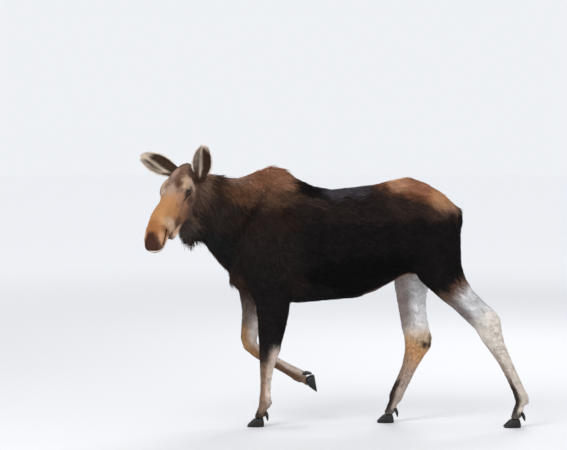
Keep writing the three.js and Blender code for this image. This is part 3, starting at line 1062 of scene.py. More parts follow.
    def build(self) -> bpy.types.Object:
        """Makes the skin's mesh, in order: fuse, soften, refine the head, shape, add the ears.

        Returns:
            The skin.
        """
        mesh = self.fuse()
        LOG.info("skin fused: %d vertices", len(mesh.vertices))
        self.soften(mesh)
        for stroke in BODY_STROKES:
            self.push(mesh, stroke, headwise=False)
        self.tendons(mesh)
        self.refine(mesh, FINE_HEAD.holds(to_head(points_of(mesh))), self.head_rounds)
        own = to_half_head(points_of(mesh))
        eye = np.linalg.norm(own - np.array(self.lids.place), axis=1) < self.fine_eye
        self.refine(mesh, eye | FINE_NOSE.holds(own) | FINE_MOUTH.holds(own), self.face_rounds)
        for stroke in HEAD_STROKES:
            self.push(mesh, stroke, headwise=True)
        put_points(mesh, self.lids.lay(points_of(mesh)))
        mesh = self.join_ears(mesh)
        self.blend_roots(mesh)
        shade_smooth(mesh)
        mesh.name = "skin"
        return new_object("skin", mesh)


# ---- markings ----------------------------------------------------------------------------------
WIDE = 9.0  # a radius that leaves a direction unbounded
PATCH_EDGE = (1.3, 0.7)
LEAN_EDGE = (-0.15, 0.45)


@dataclass(frozen=True)
class Patch:
    """A soft-edged patch of colour, an egg shape in space.

    A patch of the head is mirrored across it unless both is False. turn is in degrees in the side
    view, and ragged is how uneven its edge is.
    """

    tone: Triple
    centre: Triple
    radii: Triple
    strength: float = 1.0
    turn: float = 0.0
    ragged: float = 0.35
    both: bool = True

    def mask(self, own: np.ndarray, rough: np.ndarray) -> np.ndarray:
        """How strongly the patch covers points in its own axes, with noise for its edge.

        Args:
            own: The places, in the axes of the patch.
            rough: Noise from 0 to 1 that makes its edge uneven.

        Returns:
            One value from 0 to 1 for each point.
        """
        off = own - np.array(self.centre)
        turn = math.radians(self.turn)
        along = off[:, 0] * math.cos(turn) - off[:, 2] * math.sin(turn)
        up = off[:, 0] * math.sin(turn) + off[:, 2] * math.cos(turn)
        size = np.linalg.norm(np.stack([along, off[:, 1], up], axis=1) / np.array(self.radii), axis=1)
        size = size + (rough - 0.5) * 2.0 * self.ragged
        return smoothstep(*PATCH_EDGE, size) * self.strength


NECK_TONE = (66, 50, 41)
TRUNK_TONE = (22, 19, 19)
HEAD_TONE = (98, 75, 61)
BODY_PATCHES = (
    Patch((25, 28, 29), (-0.606, 0, 1.3), (0.362, WIDE, 0.244), 0.95, 20),  # throat and front of the chest
    Patch((51, 40, 35), (-0.802, 0, 1.482), (0.185, WIDE, 0.129), 0.7),  # side of the neck
    Patch((94, 73, 63), (-0.954, 0, 1.628), (0.103, WIDE, 0.13), 0.85),  # behind the cheek
    Patch((104, 71, 51), (-0.579, 0, 1.611), (0.209, WIDE, 0.09), 0.85, 8),  # rusty top of the neck
    # partly paler hair and partly a painted rim highlight along the top of the neck
    Patch((159, 127, 112), (-0.661, 0, 1.68), (0.169, WIDE, 0.028), 0.7, 6, 0.6),  # frosted crest of the neck
    Patch((50, 31, 19), (-0.476, 0, 1.401), (0.196, WIDE, 0.131), 0.85),  # shoulder
    Patch((38, 30, 28), (-0.479, 0, 1.214), (0.235, WIDE, 0.24), 0.8),  # lower shoulder
    Patch((146, 100, 74), (-0.479, 0, 1.71), (0.157, WIDE, 0.15), 0.95),  # gold of the hump
    Patch((88, 66, 51), (-0.436, 0, 1.572), (0.179, WIDE, 0.079), 0.7, 0, 0.6),
    Patch((139, 101, 78), (-0.348, 0, 1.657), (0.092, WIDE, 0.055), 0.7, 0, 0.6),
    # partly paler hair and partly a painted rim highlight along the top of the hump
    Patch((150, 112, 92), (-0.49, 0, 1.765), (0.14, WIDE, 0.03), 0.7, -12, 0.6),  # frosted crest of the hump
    Patch((5, 5, 5), (-0.579, 0, 1.44), (0.036, WIDE, 0.20), 0.62, 32, 0.5),  # dark line before the shoulder
    Patch((14, 9, 10), (-0.188, 0, 1.626), (0.119, WIDE, 0.067), 1.0, 25),  # black behind the hump
    Patch((43, 33, 31), (0.122, 0, 1.473), (0.459, WIDE, 0.091), 0.75),  # brown of the upper flank
    Patch((64, 51, 45), (-0.137, 0, 1.514), (0.071, WIDE, 0.024), 0.6, 10, 0.6),
    # partly paler hair and partly a painted highlight along the top of the back
    Patch((72, 67, 72), (0.05, 0, 1.614), (0.186, WIDE, 0.075), 0.8, 0, 0.7),  # frost along the back
    Patch((55, 42, 36), (0.538, 0, 1.558), (0.334, WIDE, 0.129), 0.85, 10),  # brown below the rump
    Patch((116, 74, 52), (0.573, 0, 1.63), (0.393, WIDE, 0.102), 1.0, 14),  # gold of the rump
    Patch((164, 114, 87), (0.594, 0, 1.601), (0.341, WIDE, 0.04), 0.85, 18, 0.5),
    Patch((146, 112, 96), (0.777, 0, 1.556), (0.076, WIDE, 0.106), 0.8, 40),
    # the belly is partly black of its own and partly darkened as painted shade under the body
    Patch((5, 5, 5), (0.174, 0, 1.039), (0.435, WIDE, 0.147), 0.85, -6),  # black belly
    Patch((26, 25, 26), (-0.203, 0, 0.934), (0.144, WIDE, 0.054), 0.7),
    Patch((41, 31, 28), (-0.282, 0, 0.988), (0.063, WIDE, 0.066), 0.7, 0, 0.5),  # behind the elbow
    Patch((114, 92, 86), (0.359, 0, 0.926), (0.24, WIDE, 0.038), 0.85, -14),  # pale edge of the belly
    Patch((165, 127, 110), (0.415, 0, 1.011), (0.134, 0.1, 0.097), 0.9),  # groin
    Patch((195, 148, 116), (0.407, 0, 1.654), (0.073, WIDE, 0.062), 0.85, 0, 0.2),  # palest of the rump
    Patch((113, 89, 76), (-1.009, 0, 1.4), (0.07, WIDE, 0.052), 0.85, 0, 0.2),  # side of the throat
    Patch((69, 62, 58), (-1.025, 0, 1.369), (0.078, WIDE, 0.052), 0.85, 0, 0.2),  # under the jaw
    Patch((143, 112, 93), (-0.85, 0, 1.676), (0.07, WIDE, 0.061), 0.85, 0, 0.2),  # below the ear
    Patch((40, 27, 19), (-0.825, 0, 1.669), (0.045, WIDE, 0.075), 0.85, 0, 0.2),  # dark mane behind it
    Patch((178, 122, 84), (0.663, 0, 1.554), (0.069, WIDE, 0.06), 0.85, 0, 0.2),  # gold of the hip
    Patch((64, 47, 38), (0.652, 0, 1.488), (0.059, WIDE, 0.055), 0.85, 0, 0.2),  # brown below it
    Patch((193, 146, 108), (0.696, 0, 1.551), (0.073, WIDE, 0.065), 0.85, 0, 0.2),  # gold above the tail
)
HEAD_PATCHES = (
    Patch((65, 41, 26), (-0.106, 0.009, -0.019), (0.064, 0.125, 0.13), 0.8),  # crown
    Patch((128, 100, 83), (-0.192, 0.034, 0.013), (0.161, 0.139, 0.03), 0.8, 0, 0.7),  # forehead
    Patch((79, 49, 41), (-0.143, 0.02, 0.036), (0.093, 0.026, 0.047), 0.7, 0, 0.7),
    Patch((135, 106, 91), (-0.24, 0.084, -0.123), (0.113, 0.104, 0.064), 0.9),  # cheek
    Patch((151, 108, 83), (-0.309, 0.075, -0.133), (0.083, 0.085, 0.102), 0.85, 0, 0.6),
    Patch((96, 78, 71), (-0.156, 0.039, -0.251), (0.188, 0.122, 0.056), 0.95),  # throat
    Patch((164, 140, 121), (-0.275, -0.006, 0.036), (0.107, 0.058, 0.066), 0.85),  # between the eyes
    Patch((173, 125, 82), (-0.421, 0.012, -0.017), (0.162, 0.112, 0.076), 1.0),  # bridge of the nose
    Patch((141, 90, 52), (-0.59, -0.013, -0.035), (0.136, 0.066, 0.098), 0.9, 0, 0.4),
    Patch((175, 143, 109), (-0.474, 0.087, -0.053), (0.048, 0.054, 0.097), 0.9),  # side of the muzzle
    Patch((196, 164, 138), (-0.47, 0.049, -0.085), (0.046, 0.045, 0.076), 0.9, 20, 0.5),  # cream of the lip
    # brown above the mouth, darkened further as painted shade at the corner of the mouth
    Patch((108, 72, 52), (-0.381, 0.075, -0.139), (0.034, 0.051, 0.037), 0.85, 0, 0.5),  # above the mouth
    Patch((174, 146, 122), (-0.149, 0.085, -0.01), (0.059, 0.036, 0.036), 0.95, 0, 0.5),  # brow
    # pale hair behind the eye, partly a painted highlight where the light catches it
    Patch((198, 170, 152), (-0.13, 0.086, -0.055), (0.027, 0.038, 0.049), 0.80, 0, 0.6),  # behind the eye
    Patch((82, 58, 48), (-0.213, 0.106, -0.133), (0.034, 0.046, 0.056), 0.85, 0, 0.6),  # below the eye
    Patch((163, 124, 98), (-0.272, 0.078, -0.019), (0.036, 0.035, 0.047), 0.7),  # before the eye
    Patch((233, 194, 160), (-0.419, 0.044, -0.196), (0.046, 0.062, 0.028), 1.0, 0, 0.25),  # lower lip
    Patch((59, 34, 24), (-0.642, 0, -0.063), (0.082, 0.063, 0.104), 1.0, 0, 0.25),  # bare nose
    Patch((175, 134, 100), (-0.577, 0.066, -0.074), (0.047, 0.027, 0.07), 0.95, 0, 0.25),  # nostril's wing
    Patch((49, 35, 32), (-0.243, 0.091, -0.065), (0.023, 0.028, 0.01), 0.9, -20, 0.15),  # tear line
    # whorl of the forehead
    Patch((69, 40, 26), (-0.176, -0.044, -0.006), (0.039, 0.03, 0.019), 0.85, 0, 0.2, both=False),
    Patch((121, 78, 49), (-0.532, 0.06, -0.054), (0.032, 0.026, 0.048), 0.85, 0, 0.2),  # before the nostril
    # right of the whorl
    Patch((131, 110, 100), (-0.129, 0.025, -0.006), (0.048, 0.024, 0.023), 0.85, 0, 0.2, both=False),
    # right side of the crown
    Patch((155, 126, 110), (-0.068, 0.026, 0.018), (0.049, 0.025, 0.024), 0.85, 0, 0.2, both=False),
    # painted shade where the ear meets the head
    Patch((60, 38, 24), (-0.025, 0.066, -0.034), (0.04, 0.028, 0.026), 0.8, 0, 0.2),  # dark root of the ear
    # right brow
    Patch((169, 149, 133), (-0.233, 0.059, -0.009), (0.03, 0.026, 0.023), 0.85, 0, 0.2, both=False),
)
# each dark line, painted shade in the nostril and in the crease of the mouth, runs from full strength at the
# second distance to none at the first
MOUTH_EDGE = (0.006, 0.002)
NOSTRIL_EDGE = (0.011, 0.006)
NOSTRIL_DEEP = 0.25  # depth into the nostril counts for this share of its length
# the pale hairs at the edge of the upper lip, from the middle round to the corner of the muzzle
LIP_LINE = (
    (-0.668, 0.0, -0.096), (-0.664, 0.030, -0.098), (-0.650, 0.058, -0.102), (-0.630, 0.072, -0.101),
    (-0.600, 0.079, -0.097), (-0.565, 0.082, -0.090), (-0.530, 0.081, -0.090), (-0.500, 0.077, -0.105),
)
LIP_EDGE = (0.009, 0.004)
LIP_PALE = (236, 220, 204)
# dark skin at the lids, and painted shade in the nostril and along the mouth
DARK_SKIN_AND_SHADE = (26, 18, 16)


@dataclass(frozen=True)
class Band:
    """A stretch of colour round a leg.

    Its ends are counted down the limb as Limb.place does. outer and front say which sides of the
    leg it is strongest on, from -1, only inside or behind, through 0, all round, to 1.
    """

    tone: Triple
    start: float
    end: float
    outer: float = 0.0
    front: float = 0.0
    strength: float = 1.0
    soft: float = 0.12

    def mask(self, reach: np.ndarray, outer: np.ndarray, front: np.ndarray) -> np.ndarray:
        """How strongly the band covers points.

        Args:
            reach: How far down the limb each point is.
            outer: How far each faces away from the body, from -1 to 1.
            front: How far each faces forward, from -1 to 1.

        Returns:
            One value from 0 to 1 for each point.
        """
        mask = smoothstep(self.start - self.soft, self.start + self.soft, reach)
        mask = mask * smoothstep(self.end + self.soft, self.end - self.soft, reach) * self.strength
        for lean, side in ((self.outer, outer), (self.front, front)):
            if lean:
                mask = mask * smoothstep(*LEAN_EDGE, side * np.sign(lean) + (1 - abs(lean)))
        return mask


FORE_BANDS = (
    Band((28, 24, 24), -2.0, 4.5),
    Band((84, 70, 64), 0.9, 1.6, outer=-1, strength=0.8, soft=0.3),
    Band((136, 118, 108), 1.3, 1.9, outer=-1, strength=0.9, soft=0.2),
    Band((184, 142, 100), 1.74, 2.25, outer=-1, strength=0.95),
    Band((228, 218, 212), 1.5, 2.05, outer=-1, front=-0.7, strength=0.95),
    Band((176, 146, 124), 2.06, 4.5, front=-0.9, soft=0.08),
    Band((181, 149, 127), 2.24, 4.5, soft=0.06),
    Band((112, 76, 52), 2.3, 3.2, outer=-1, strength=0.9),
    Band((224, 208, 196), 2.0, 3.2, front=-1, strength=0.95),
    Band((92, 74, 62), 2.2, 3.2, front=1, strength=0.5),
    Band((50, 40, 35), 2.05, 2.34, outer=1, front=1, strength=0.9),
    Band((120, 98, 84), 3.0, 4.5, strength=0.6),
    Band((44, 36, 33), 3.45, 4.6, strength=0.9),
)
HIND_BANDS = (
    Band((22, 19, 19), -2.0, 4.5),
    Band((116, 88, 72), 1.27, 1.62, outer=1, strength=0.95, soft=0.06),
    Band((232, 231, 232), 1.40, 2.7, outer=1, soft=0.07),
    # pale inside of the hind legs, made paler still as painted light that lifts the shade on that side
    Band((244, 242, 242), 1.02, 2.7, outer=-1, soft=0.10),
    Band((104, 86, 76), 1.28, 1.92, front=1, strength=0.8),
    Band((176, 160, 154), 0.9, 1.92, outer=-1, front=1, strength=0.85),
    Band((224, 216, 206), 1.85, 4.5, soft=0.15),
    Band((212, 172, 128), 1.93, 2.7, outer=-1, strength=0.9),
    Band((196, 146, 98), 2.12, 2.75, outer=-1, strength=0.8, soft=0.1),
    Band((218, 204, 190), 2.5, 4.5, strength=0.7, soft=0.3),
    Band((168, 148, 138), 2.45, 3.4, outer=-1, strength=0.7, soft=0.15),
    Band((136, 112, 96), 2.3, 3.4, front=1, strength=0.7, soft=0.3),
    Band((34, 24, 19), 2.72, 3.6, front=1, strength=0.92),
    Band((22, 14, 10), 1.99, 2.10, outer=-1, front=-0.8, strength=0.95, soft=0.04),
    Band((44, 36, 33), 3.45, 4.6, strength=0.85),
)
BAND_RAGGED = 0.16
LEG_STARTS = (0.35, 1.0)
NECK_STARTS = (-0.52, -0.66)

EAR_BACK = (92, 74, 62)
# the inside of the ear: its own dark skin, with painted shade of the hollow
EAR_INSIDE_SKIN_AND_SHADE = (60, 42, 32)
EAR_PALE = (218, 200, 180)
EAR_RIM = (238, 226, 214)


@dataclass(frozen=True)
class EarHair:
    """The pale hair inside an ear.

    Places across the ear are shares of its half width there, and places along it shares of its length.
    """

    ridge: float
    ridge_leans: float
    tip: float
    ridge_width: float = 0.15
    ridge_starts: Pair = (-0.05, 0.12)
    lobe: float = 0.66
    lobe_width: float = 0.24
    lobe_starts: Pair = (0.08, 0.3)
    tip_length: float = 0.16
    tip_leans: float = 0.12
    tip_full: float = 0.8
    dark_full: float = 0.9
    # how strong the hair is evenly, and how much more its roughness adds
    ridge_full: Pair = (0.55, 0.7)
    lobe_full: Pair = (0.05, 0.8)
    rim: Pair = (0.84, 0.96)
    rim_starts: Pair = (0.02, 0.15)
    rim_tip: Pair = (0.93, 0.99)


EAR_HAIRS = {
    Region.EAR_LEFT: EarHair(0.05, 0.34, 0.82),
    Region.EAR_RIGHT: EarHair(0.52, -0.78, 0.72),
}


class Markings:
    """The colours of the coat, the same for the skin and for its tufts."""

    def limb(self, limb: Limb, points: np.ndarray, normals: np.ndarray, rough: np.ndarray) -> np.ndarray:
        """The colours of one leg.

        Args:
            limb: The leg.
            points: The places, one row each.
            normals: Which way the skin faces there.
            rough: Noise from 0 to 1 at each point.

        Returns:
            Red, green and blue as light, one row for each point.
        """
        reach, axis, _ = limb.place(points)
        reach = reach + (rough - 0.5) * BAND_RAGGED
        front = (normals * ahead_of(axis)).sum(axis=1)
        outer = normals[:, 1] * limb.outward
        colour = np.zeros((len(points), 3))
        for band in FORE_BANDS if limb.region in FORE_LIMBS else HIND_BANDS:
            colour = blend(colour, band.tone, band.mask(reach, outer, front))
        return colour

    def ear(self, region: Region, points: np.ndarray, normals: np.ndarray, rough: np.ndarray) -> np.ndarray:
        """The colours of one ear: dark inside, partly its own skin and partly painted shade of the hollow,
        with pale hair, pale at the rim.

        Args:
            region: Which ear.
            points: The places, one row each.
            normals: Which way the skin faces there.
            rough: Noise from 0 to 1 at each point.

        Returns:
            Red, green and blue as light, one row for each point.
        """
        shape, hair = EAR_SHAPES[region], EAR_HAIRS[region]
        own = shape.local(points)
        along = own[:, 0]
        inside = smoothstep(0.0, 0.5, normals @ shape.axes()[1])
        widths = np.array([[row[0], row[2]] for row in shape.rows])
        across = own[:, 2] / np.interp(along, widths[:, 0], widths[:, 1])
        # painted shade: the open, hollow side is darkened
        colour = blend(plain(EAR_BACK, len(points)), EAR_INSIDE_SKIN_AND_SHADE, inside * hair.dark_full)
        ridge = bell(across - hair.ridge - hair.ridge_leans * along, 0.0, hair.ridge_width)
        ridge = ridge * smoothstep(*hair.ridge_starts, along)
        least, more = hair.ridge_full
        colour = blend(colour, EAR_PALE, inside * ridge * (least + more * rough))
        lobe = bell(across, hair.lobe, hair.lobe_width) * smoothstep(*hair.lobe_starts, along)
        least, more = hair.lobe_full
        colour = blend(colour, EAR_PALE, inside * lobe * (least + more * rough))
        tip = smoothstep(hair.tip, hair.tip + hair.tip_length, along - hair.tip_leans * across)
        colour = blend(colour, EAR_PALE, inside * tip * hair.tip_full)
        rim = smoothstep(*hair.rim, np.abs(across)) * smoothstep(*hair.rim_starts, along)
        rim = np.maximum(rim, smoothstep(*hair.rim_tip, along))
        return blend(colour, EAR_RIM, rim)

    def torso(self, points: np.ndarray) -> np.ndarray:
        """The colours of the neck, the trunk and the tail.

        Args:
            points: The places, one row each.

        Returns:
            Red, green and blue as light, one row for each point.
        """
        rough = 0.6 * noise(points, *BODY_COARSE) + 0.4 * noise(points, *BODY_FINE)
        own = points - np.array([0.0, MIDLINE, 0.0])
        colour = blend(plain(TRUNK_TONE, len(points)), NECK_TONE, smoothstep(*NECK_STARTS, own[:, 0]))
        for patch in BODY_PATCHES:
            colour = blend(colour, patch.tone, patch.mask(own, rough))
        return colour

    def head(self, points: np.ndarray, rough: np.ndarray) -> np.ndarray:
        """The colours of the head.

        Args:
            points: The places, one row each.
            rough: Noise from 0 to 1 at each point.

        Returns:
            Red, green and blue as light, one row for each point.
        """
        signed, own = to_head(points), to_half_head(points)
        colour = plain(HEAD_TONE, len(points))
        for patch in HEAD_PATCHES:
            colour = blend(colour, patch.tone, patch.mask(own if patch.both else signed, rough))
        nostril = line_distance(own, NOSTRIL_LINE, NOSTRIL_DEEP)
        colour = blend(colour, LIP_PALE, smoothstep(*LIP_EDGE, line_distance(own, LIP_LINE)))
        # painted shade inside the nostril and in the crease of the mouth
        colour = blend(colour, DARK_SKIN_AND_SHADE, smoothstep(*NOSTRIL_EDGE, nostril))
        return blend(colour, DARK_SKIN_AND_SHADE, smoothstep(*MOUTH_EDGE, line_distance(own, MOUTH_LINE)))

    def colours(self, points: np.ndarray, normals: np.ndarray, weights: np.ndarray) -> np.ndarray:
        """The coat's colour at each point.

        Args:
            points: The places, one row each.
            normals: Which way the skin faces there.
            weights: How much each point belongs to each region.

        Returns:
            Red, green and blue as light, one row for each point.
        """
        fine = 0.5 * noise(points, *FACE_COARSE) + 0.5 * noise(points, *FACE_FINE)
        trunk = share_of(weights, Region.TRUNK, Region.TAIL)
        neck = share_of(weights, Region.NECK, Region.BELL)
        torso = self.torso(points)
        out = torso * (trunk + neck)[:, None]
        out = out + self.head(points, fine) * share_of(weights, Region.HEAD)[:, None]
        for region, limb in LIMB_LINES.items():
            low = smoothstep(*LEG_STARTS, limb.place(points)[0])[:, None]
            leg = self.limb(limb, points, normals, fine)
            out += (torso * (1 - low) + leg * low) * share_of(weights, region)[:, None]
        for region in EAR_SHAPES:
            out += self.ear(region, points, normals, fine) * share_of(weights, region)[:, None]
        return out


# ---- the lie of the coat -----------------------------------------------------------------------
@dataclass(frozen=True)
class Fall:
    """A place in the side view where the hair of the body falls more steeply, by so many degrees."""

    centre: Pair
    radii: Pair
    steeper: float


FALLS = (
    Fall((-0.85, 1.45), (0.35, 0.50), 30),
    Fall((-0.48, 1.25), (0.22, 0.40), 42),
    Fall((0.72, 1.25), (0.28, 0.40), 45),
    Fall((0.00, 1.00), (0.60, 0.20), 8),
)
LEVEL_FALL = 22.0  # how many degrees below level the hair of the body runs elsewhere
FACE_SPREAD = 0.9  # how much the hair turns outwards at the sides of the face
FACE_HALF_WIDTH = 0.1
UNDERSIDE = -0.12
UNDERSIDE_FALL = -0.35
DOWNWARDS = np.array([0.12, 0.0, -1.0])
LEG_LIE_STARTS = (0.3, 1.1)
EAR_SPREAD = 0.35


def lie(points: np.ndarray, normals: np.ndarray, weights: np.ndarray) -> np.ndarray:
    """Which way the hair runs over the skin.

    Args:
        points: The places, one row each.
        normals: Which way the skin faces there.
        weights: How much each point belongs to each region.

    Returns:
        A direction along the skin for each point.
    """
    count = len(points)
    angle = np.full(count, LEVEL_FALL)
    for fall in FALLS:
        off = (points[:, [0, 2]] - np.array(fall.centre)) / np.array(fall.radii)
        angle += fall.steeper * np.exp(-(off**2).sum(axis=1))
    angle = np.radians(angle)
    body = np.stack([np.cos(angle), np.zeros(count), -np.sin(angle)], axis=1)
    own = to_head(points)
    under = np.where(own[:, 2] < UNDERSIDE, UNDERSIDE_FALL, 0.0)
    face = np.stack([np.ones(count), FACE_SPREAD * own[:, 1] / FACE_HALF_WIDTH, under], axis=1)
    runs = {
        Region.HEAD: head_vectors(face),
        Region.BELL: DOWNWARDS,
        Region.NECK: body,
        Region.TRUNK: body,
        Region.TAIL: DOWNWARDS,
    }
    for region, limb in LIMB_LINES.items():
        reach, axis, _ = limb.place(points)
        low = smoothstep(*LEG_LIE_STARTS, reach)[:, None]
        runs[region] = body * (1 - low) + axis * low
    for region, shape in EAR_SHAPES.items():
        along, _, across = shape.axes()
        side = shape.local(points)[:, 2:3]
        runs[region] = along + across * side * EAR_SPREAD
    total = sum(run * share_of(weights, region)[:, None] for region, run in runs.items())
    total = total - normals * (total * normals).sum(axis=1, keepdims=True)
    return unit(total)


# ---- the unwrap --------------------------------------------------------------------------------
CHARTS = {
    Region.TRUNK: (0.01, 0.44, 0.47, 0.99),
    Region.NECK: (0.49, 0.44, 0.71, 0.99),
    Region.HEAD: (0.73, 0.65, 0.99, 0.99),
    Region.EAR_LEFT: (0.73, 0.49, 0.85, 0.63),
    Region.EAR_RIGHT: (0.87, 0.49, 0.99, 0.63),
    Region.BELL: (0.87, 0.38, 0.99, 0.47),
    Region.TAIL: (0.73, 0.38, 0.85, 0.47),
    Region.FORE_LEFT: (0.01, 0.23, 0.49, 0.42),
    Region.FORE_RIGHT: (0.01, 0.01, 0.49, 0.21),
    Region.HIND_LEFT: (0.51, 0.20, 0.99, 0.36),
    Region.HIND_RIGHT: (0.51, 0.01, 0.99, 0.18),
}
HEAD_CORE = 0.09  # how far under the top of the face the head's middle line runs
EAR_CORE = 0.25
NECK_LINE = ((-0.60, MIDLINE, 1.29), (-0.96, 0.02, 1.62))
TRUNK_CORE = (0.0, MIDLINE, 1.25)
TRUNK_END = (0.3, 0.75)
BELL_CORE = (-1.0, 0.03)
TAIL_CORE = (0.845, MIDLINE)
END_TAPER = 0.7  # how much a rounded end counts on along its region, so that it doesn't fold up


def unroll(region: Region, points: np.ndarray) -> tuple[np.ndarray, np.ndarray]:
    """How far along a region points are, and their angle round its middle line.

    Args:
        region: The region.
        points: The places, one row each.

    Returns:
        How far along each is, in metres, joints or shares of an ear, and its angle in radians.
    """
    if region in LIMB_LINES:
        reach, axis, off = LIMB_LINES[region].place(points)
        return reach, np.arctan2(off[:, 1], (off * ahead_of(axis)).sum(axis=1))
    if region in EAR_SHAPES:
        own = EAR_SHAPES[region].local(points)
        return own[:, 0], np.arctan2(own[:, 2], own[:, 1] + EAR_CORE)
    if region is Region.HEAD:
        own = to_head(points)
        up, side = own[:, 2] + HEAD_CORE, own[:, 1]
        taper = END_TAPER * np.hypot(up, side) * smoothstep(*MUZZLE_STARTS, own[:, 0])
        return own[:, 0] + taper, np.arctan2(side, up)
    if region in (Region.BELL, Region.TAIL):
        x, y = BELL_CORE if region is Region.BELL else TAIL_CORE
        return -points[:, 2], np.arctan2(points[:, 1] - y, points[:, 0] - x)
    if region is Region.NECK:
        low, high = np.array(NECK_LINE)
        line = unit(low - high)
        up = np.cross(line, np.array([0.0, 1.0, 0.0]))
        off = points - low
        return off @ line, np.arctan2(off[:, 1] - line[1] * (off @ line), -(off @ up))
    off = points - np.array(TRUNK_CORE)
    size = np.hypot(off[:, 1], off[:, 2])
    taper = END_TAPER * size * smoothstep(*TRUNK_END, off[:, 0])
    return off[:, 0] - taper, np.arctan2(off[:, 1], off[:, 2])


@dataclass
class Unwrap:
    """Lays the skin out flat, one region to a chart, and beside that a map of the lie of its hair."""

    mesh: bpy.types.Mesh
    weights: np.ndarray
    full_turn: float = 2.2 * math.pi  # a chart holds a little more than one turn
    girth: float = 0.16  # metres round the skin for one radian

    def __post_init__(self) -> None:
        """Works out where every corner of every face lies, and writes both maps."""
        mesh, points = self.mesh, points_of(self.mesh)
        corners = np.empty(len(mesh.loops), np.int32)
        mesh.loops.foreach_get("vertex_index", corners)
        totals = np.empty(len(mesh.polygons), np.int32)
        mesh.polygons.foreach_get("loop_total", totals)
        face = np.repeat(np.arange(len(totals)), totals)
        owner = np.argmax(self.face_sums(face, self.weights[corners]), axis=1)
        middles = self.face_sums(face, points[corners]) / totals[:, None]
        self.flat = np.zeros((len(corners), 2))
        lie_map = np.zeros((len(corners), 2))
        for region, (left, low, right, high) in CHARTS.items():
            mine = owner[face] == region.value
            if not mine.any():
                continue
            along, angle = unroll(region, points[corners[mine]])
            _, middle = unroll(region, middles[face[mine]])
            turn = np.mod(angle - middle + math.pi, 2 * math.pi) - math.pi + middle
            share = (along - along.min()) / (along.max() - along.min())
            self.flat[mine, 0] = left + share * (right - left)
            self.flat[mine, 1] = (low + high) / 2 + turn / self.full_turn * (high - low)
            lie_map[mine] = np.stack([along, turn * self.girth], axis=1)
        write_map(mesh, BAKE_MAP, self.flat)
        write_map(mesh, LIE_MAP, lie_map)

    def face_sums(self, face: np.ndarray, rows: np.ndarray) -> np.ndarray:
        """The sum over each face of what its corners hold."""
        return np.stack([np.bincount(face, weights=c, minlength=face[-1] + 1) for c in rows.T], axis=1)


def write_map(mesh: bpy.types.Mesh, name: str, places: np.ndarray) -> None:
    """Writes a flat map, with a place for each corner."""
    layer = mesh.uv_layers.new(name=name)
    layer.data.foreach_set("uv", places.astype(np.float32).ravel())


def write_colour(mesh: bpy.types.Mesh, name: str, colours: np.ndarray) -> None:
    """Writes a colour for each vertex.

    Args:
        mesh: The mesh.
        name: What the layer is called.
        colours: Red, green and blue, one row for each vertex.
    """
    layer = mesh.color_attributes.new(name, "FLOAT_COLOR", "POINT")
    rows = np.ones((len(colours), 4), np.float32)
    rows[:, :3] = colours
    layer.data.foreach_set("color", rows.ravel())


# ---- the coat ----------------------------------------------------------------------------------
@dataclass(frozen=True)
class CoatPiece:
    """One joined mesh of tufts, with how thick they are and how much painted shade darkens them at the root.
    """

    name: str
    slot: str
    stout: float = 1.0
    # how strong the painted shade at the tufts' roots is, against 1
    deep: float = 1.0


FACE_COAT = CoatPiece("coat_face", "face_coat", 0.55, 0.3)
EAR_COAT = CoatPiece("coat_ears", "ear_coat")
NECK_LEFT = CoatPiece("coat_neck_left", "neck_coat")
NECK_RIGHT = CoatPiece("coat_neck_right", "neck_coat")
WITHERS_LEFT = CoatPiece("coat_withers_left", "flank_coat")
WITHERS_RIGHT = CoatPiece("coat_withers_right", "flank_coat")
FLANK_LEFT = CoatPiece("coat_flank_left", "flank_coat")
FLANK_RIGHT = CoatPiece("coat_flank_right", "flank_coat")
RUMP = CoatPiece("coat_rump", "flank_coat")
FORE_UPPER = CoatPiece("coat_shoulders_and_forearms", "upper_leg_coat")
HIND_UPPER = CoatPiece("coat_thighs_and_gaskins", "upper_leg_coat")
LOWER_LEGS = CoatPiece("coat_lower_legs", "lower_leg_coat")
PIECES = (
    FACE_COAT, EAR_COAT, NECK_LEFT, NECK_RIGHT, WITHERS_LEFT, WITHERS_RIGHT,
    FLANK_LEFT, FLANK_RIGHT, RUMP, FORE_UPPER, HIND_UPPER, LOWER_LEGS,
)


TUFT_THICK = 0.42  # a tuft's thickness, as a share of its width
TUFT_ROOT = 0.75  # its width at the root, as a share of that at its body
BODY_ALONG = 0.42  # where its widest ring is, as a share of its length
BODY_RISE = 0.62  # how much of the tip's rise that ring has
BODY_BEND = 0.25  # how much of the tip's bend that ring has


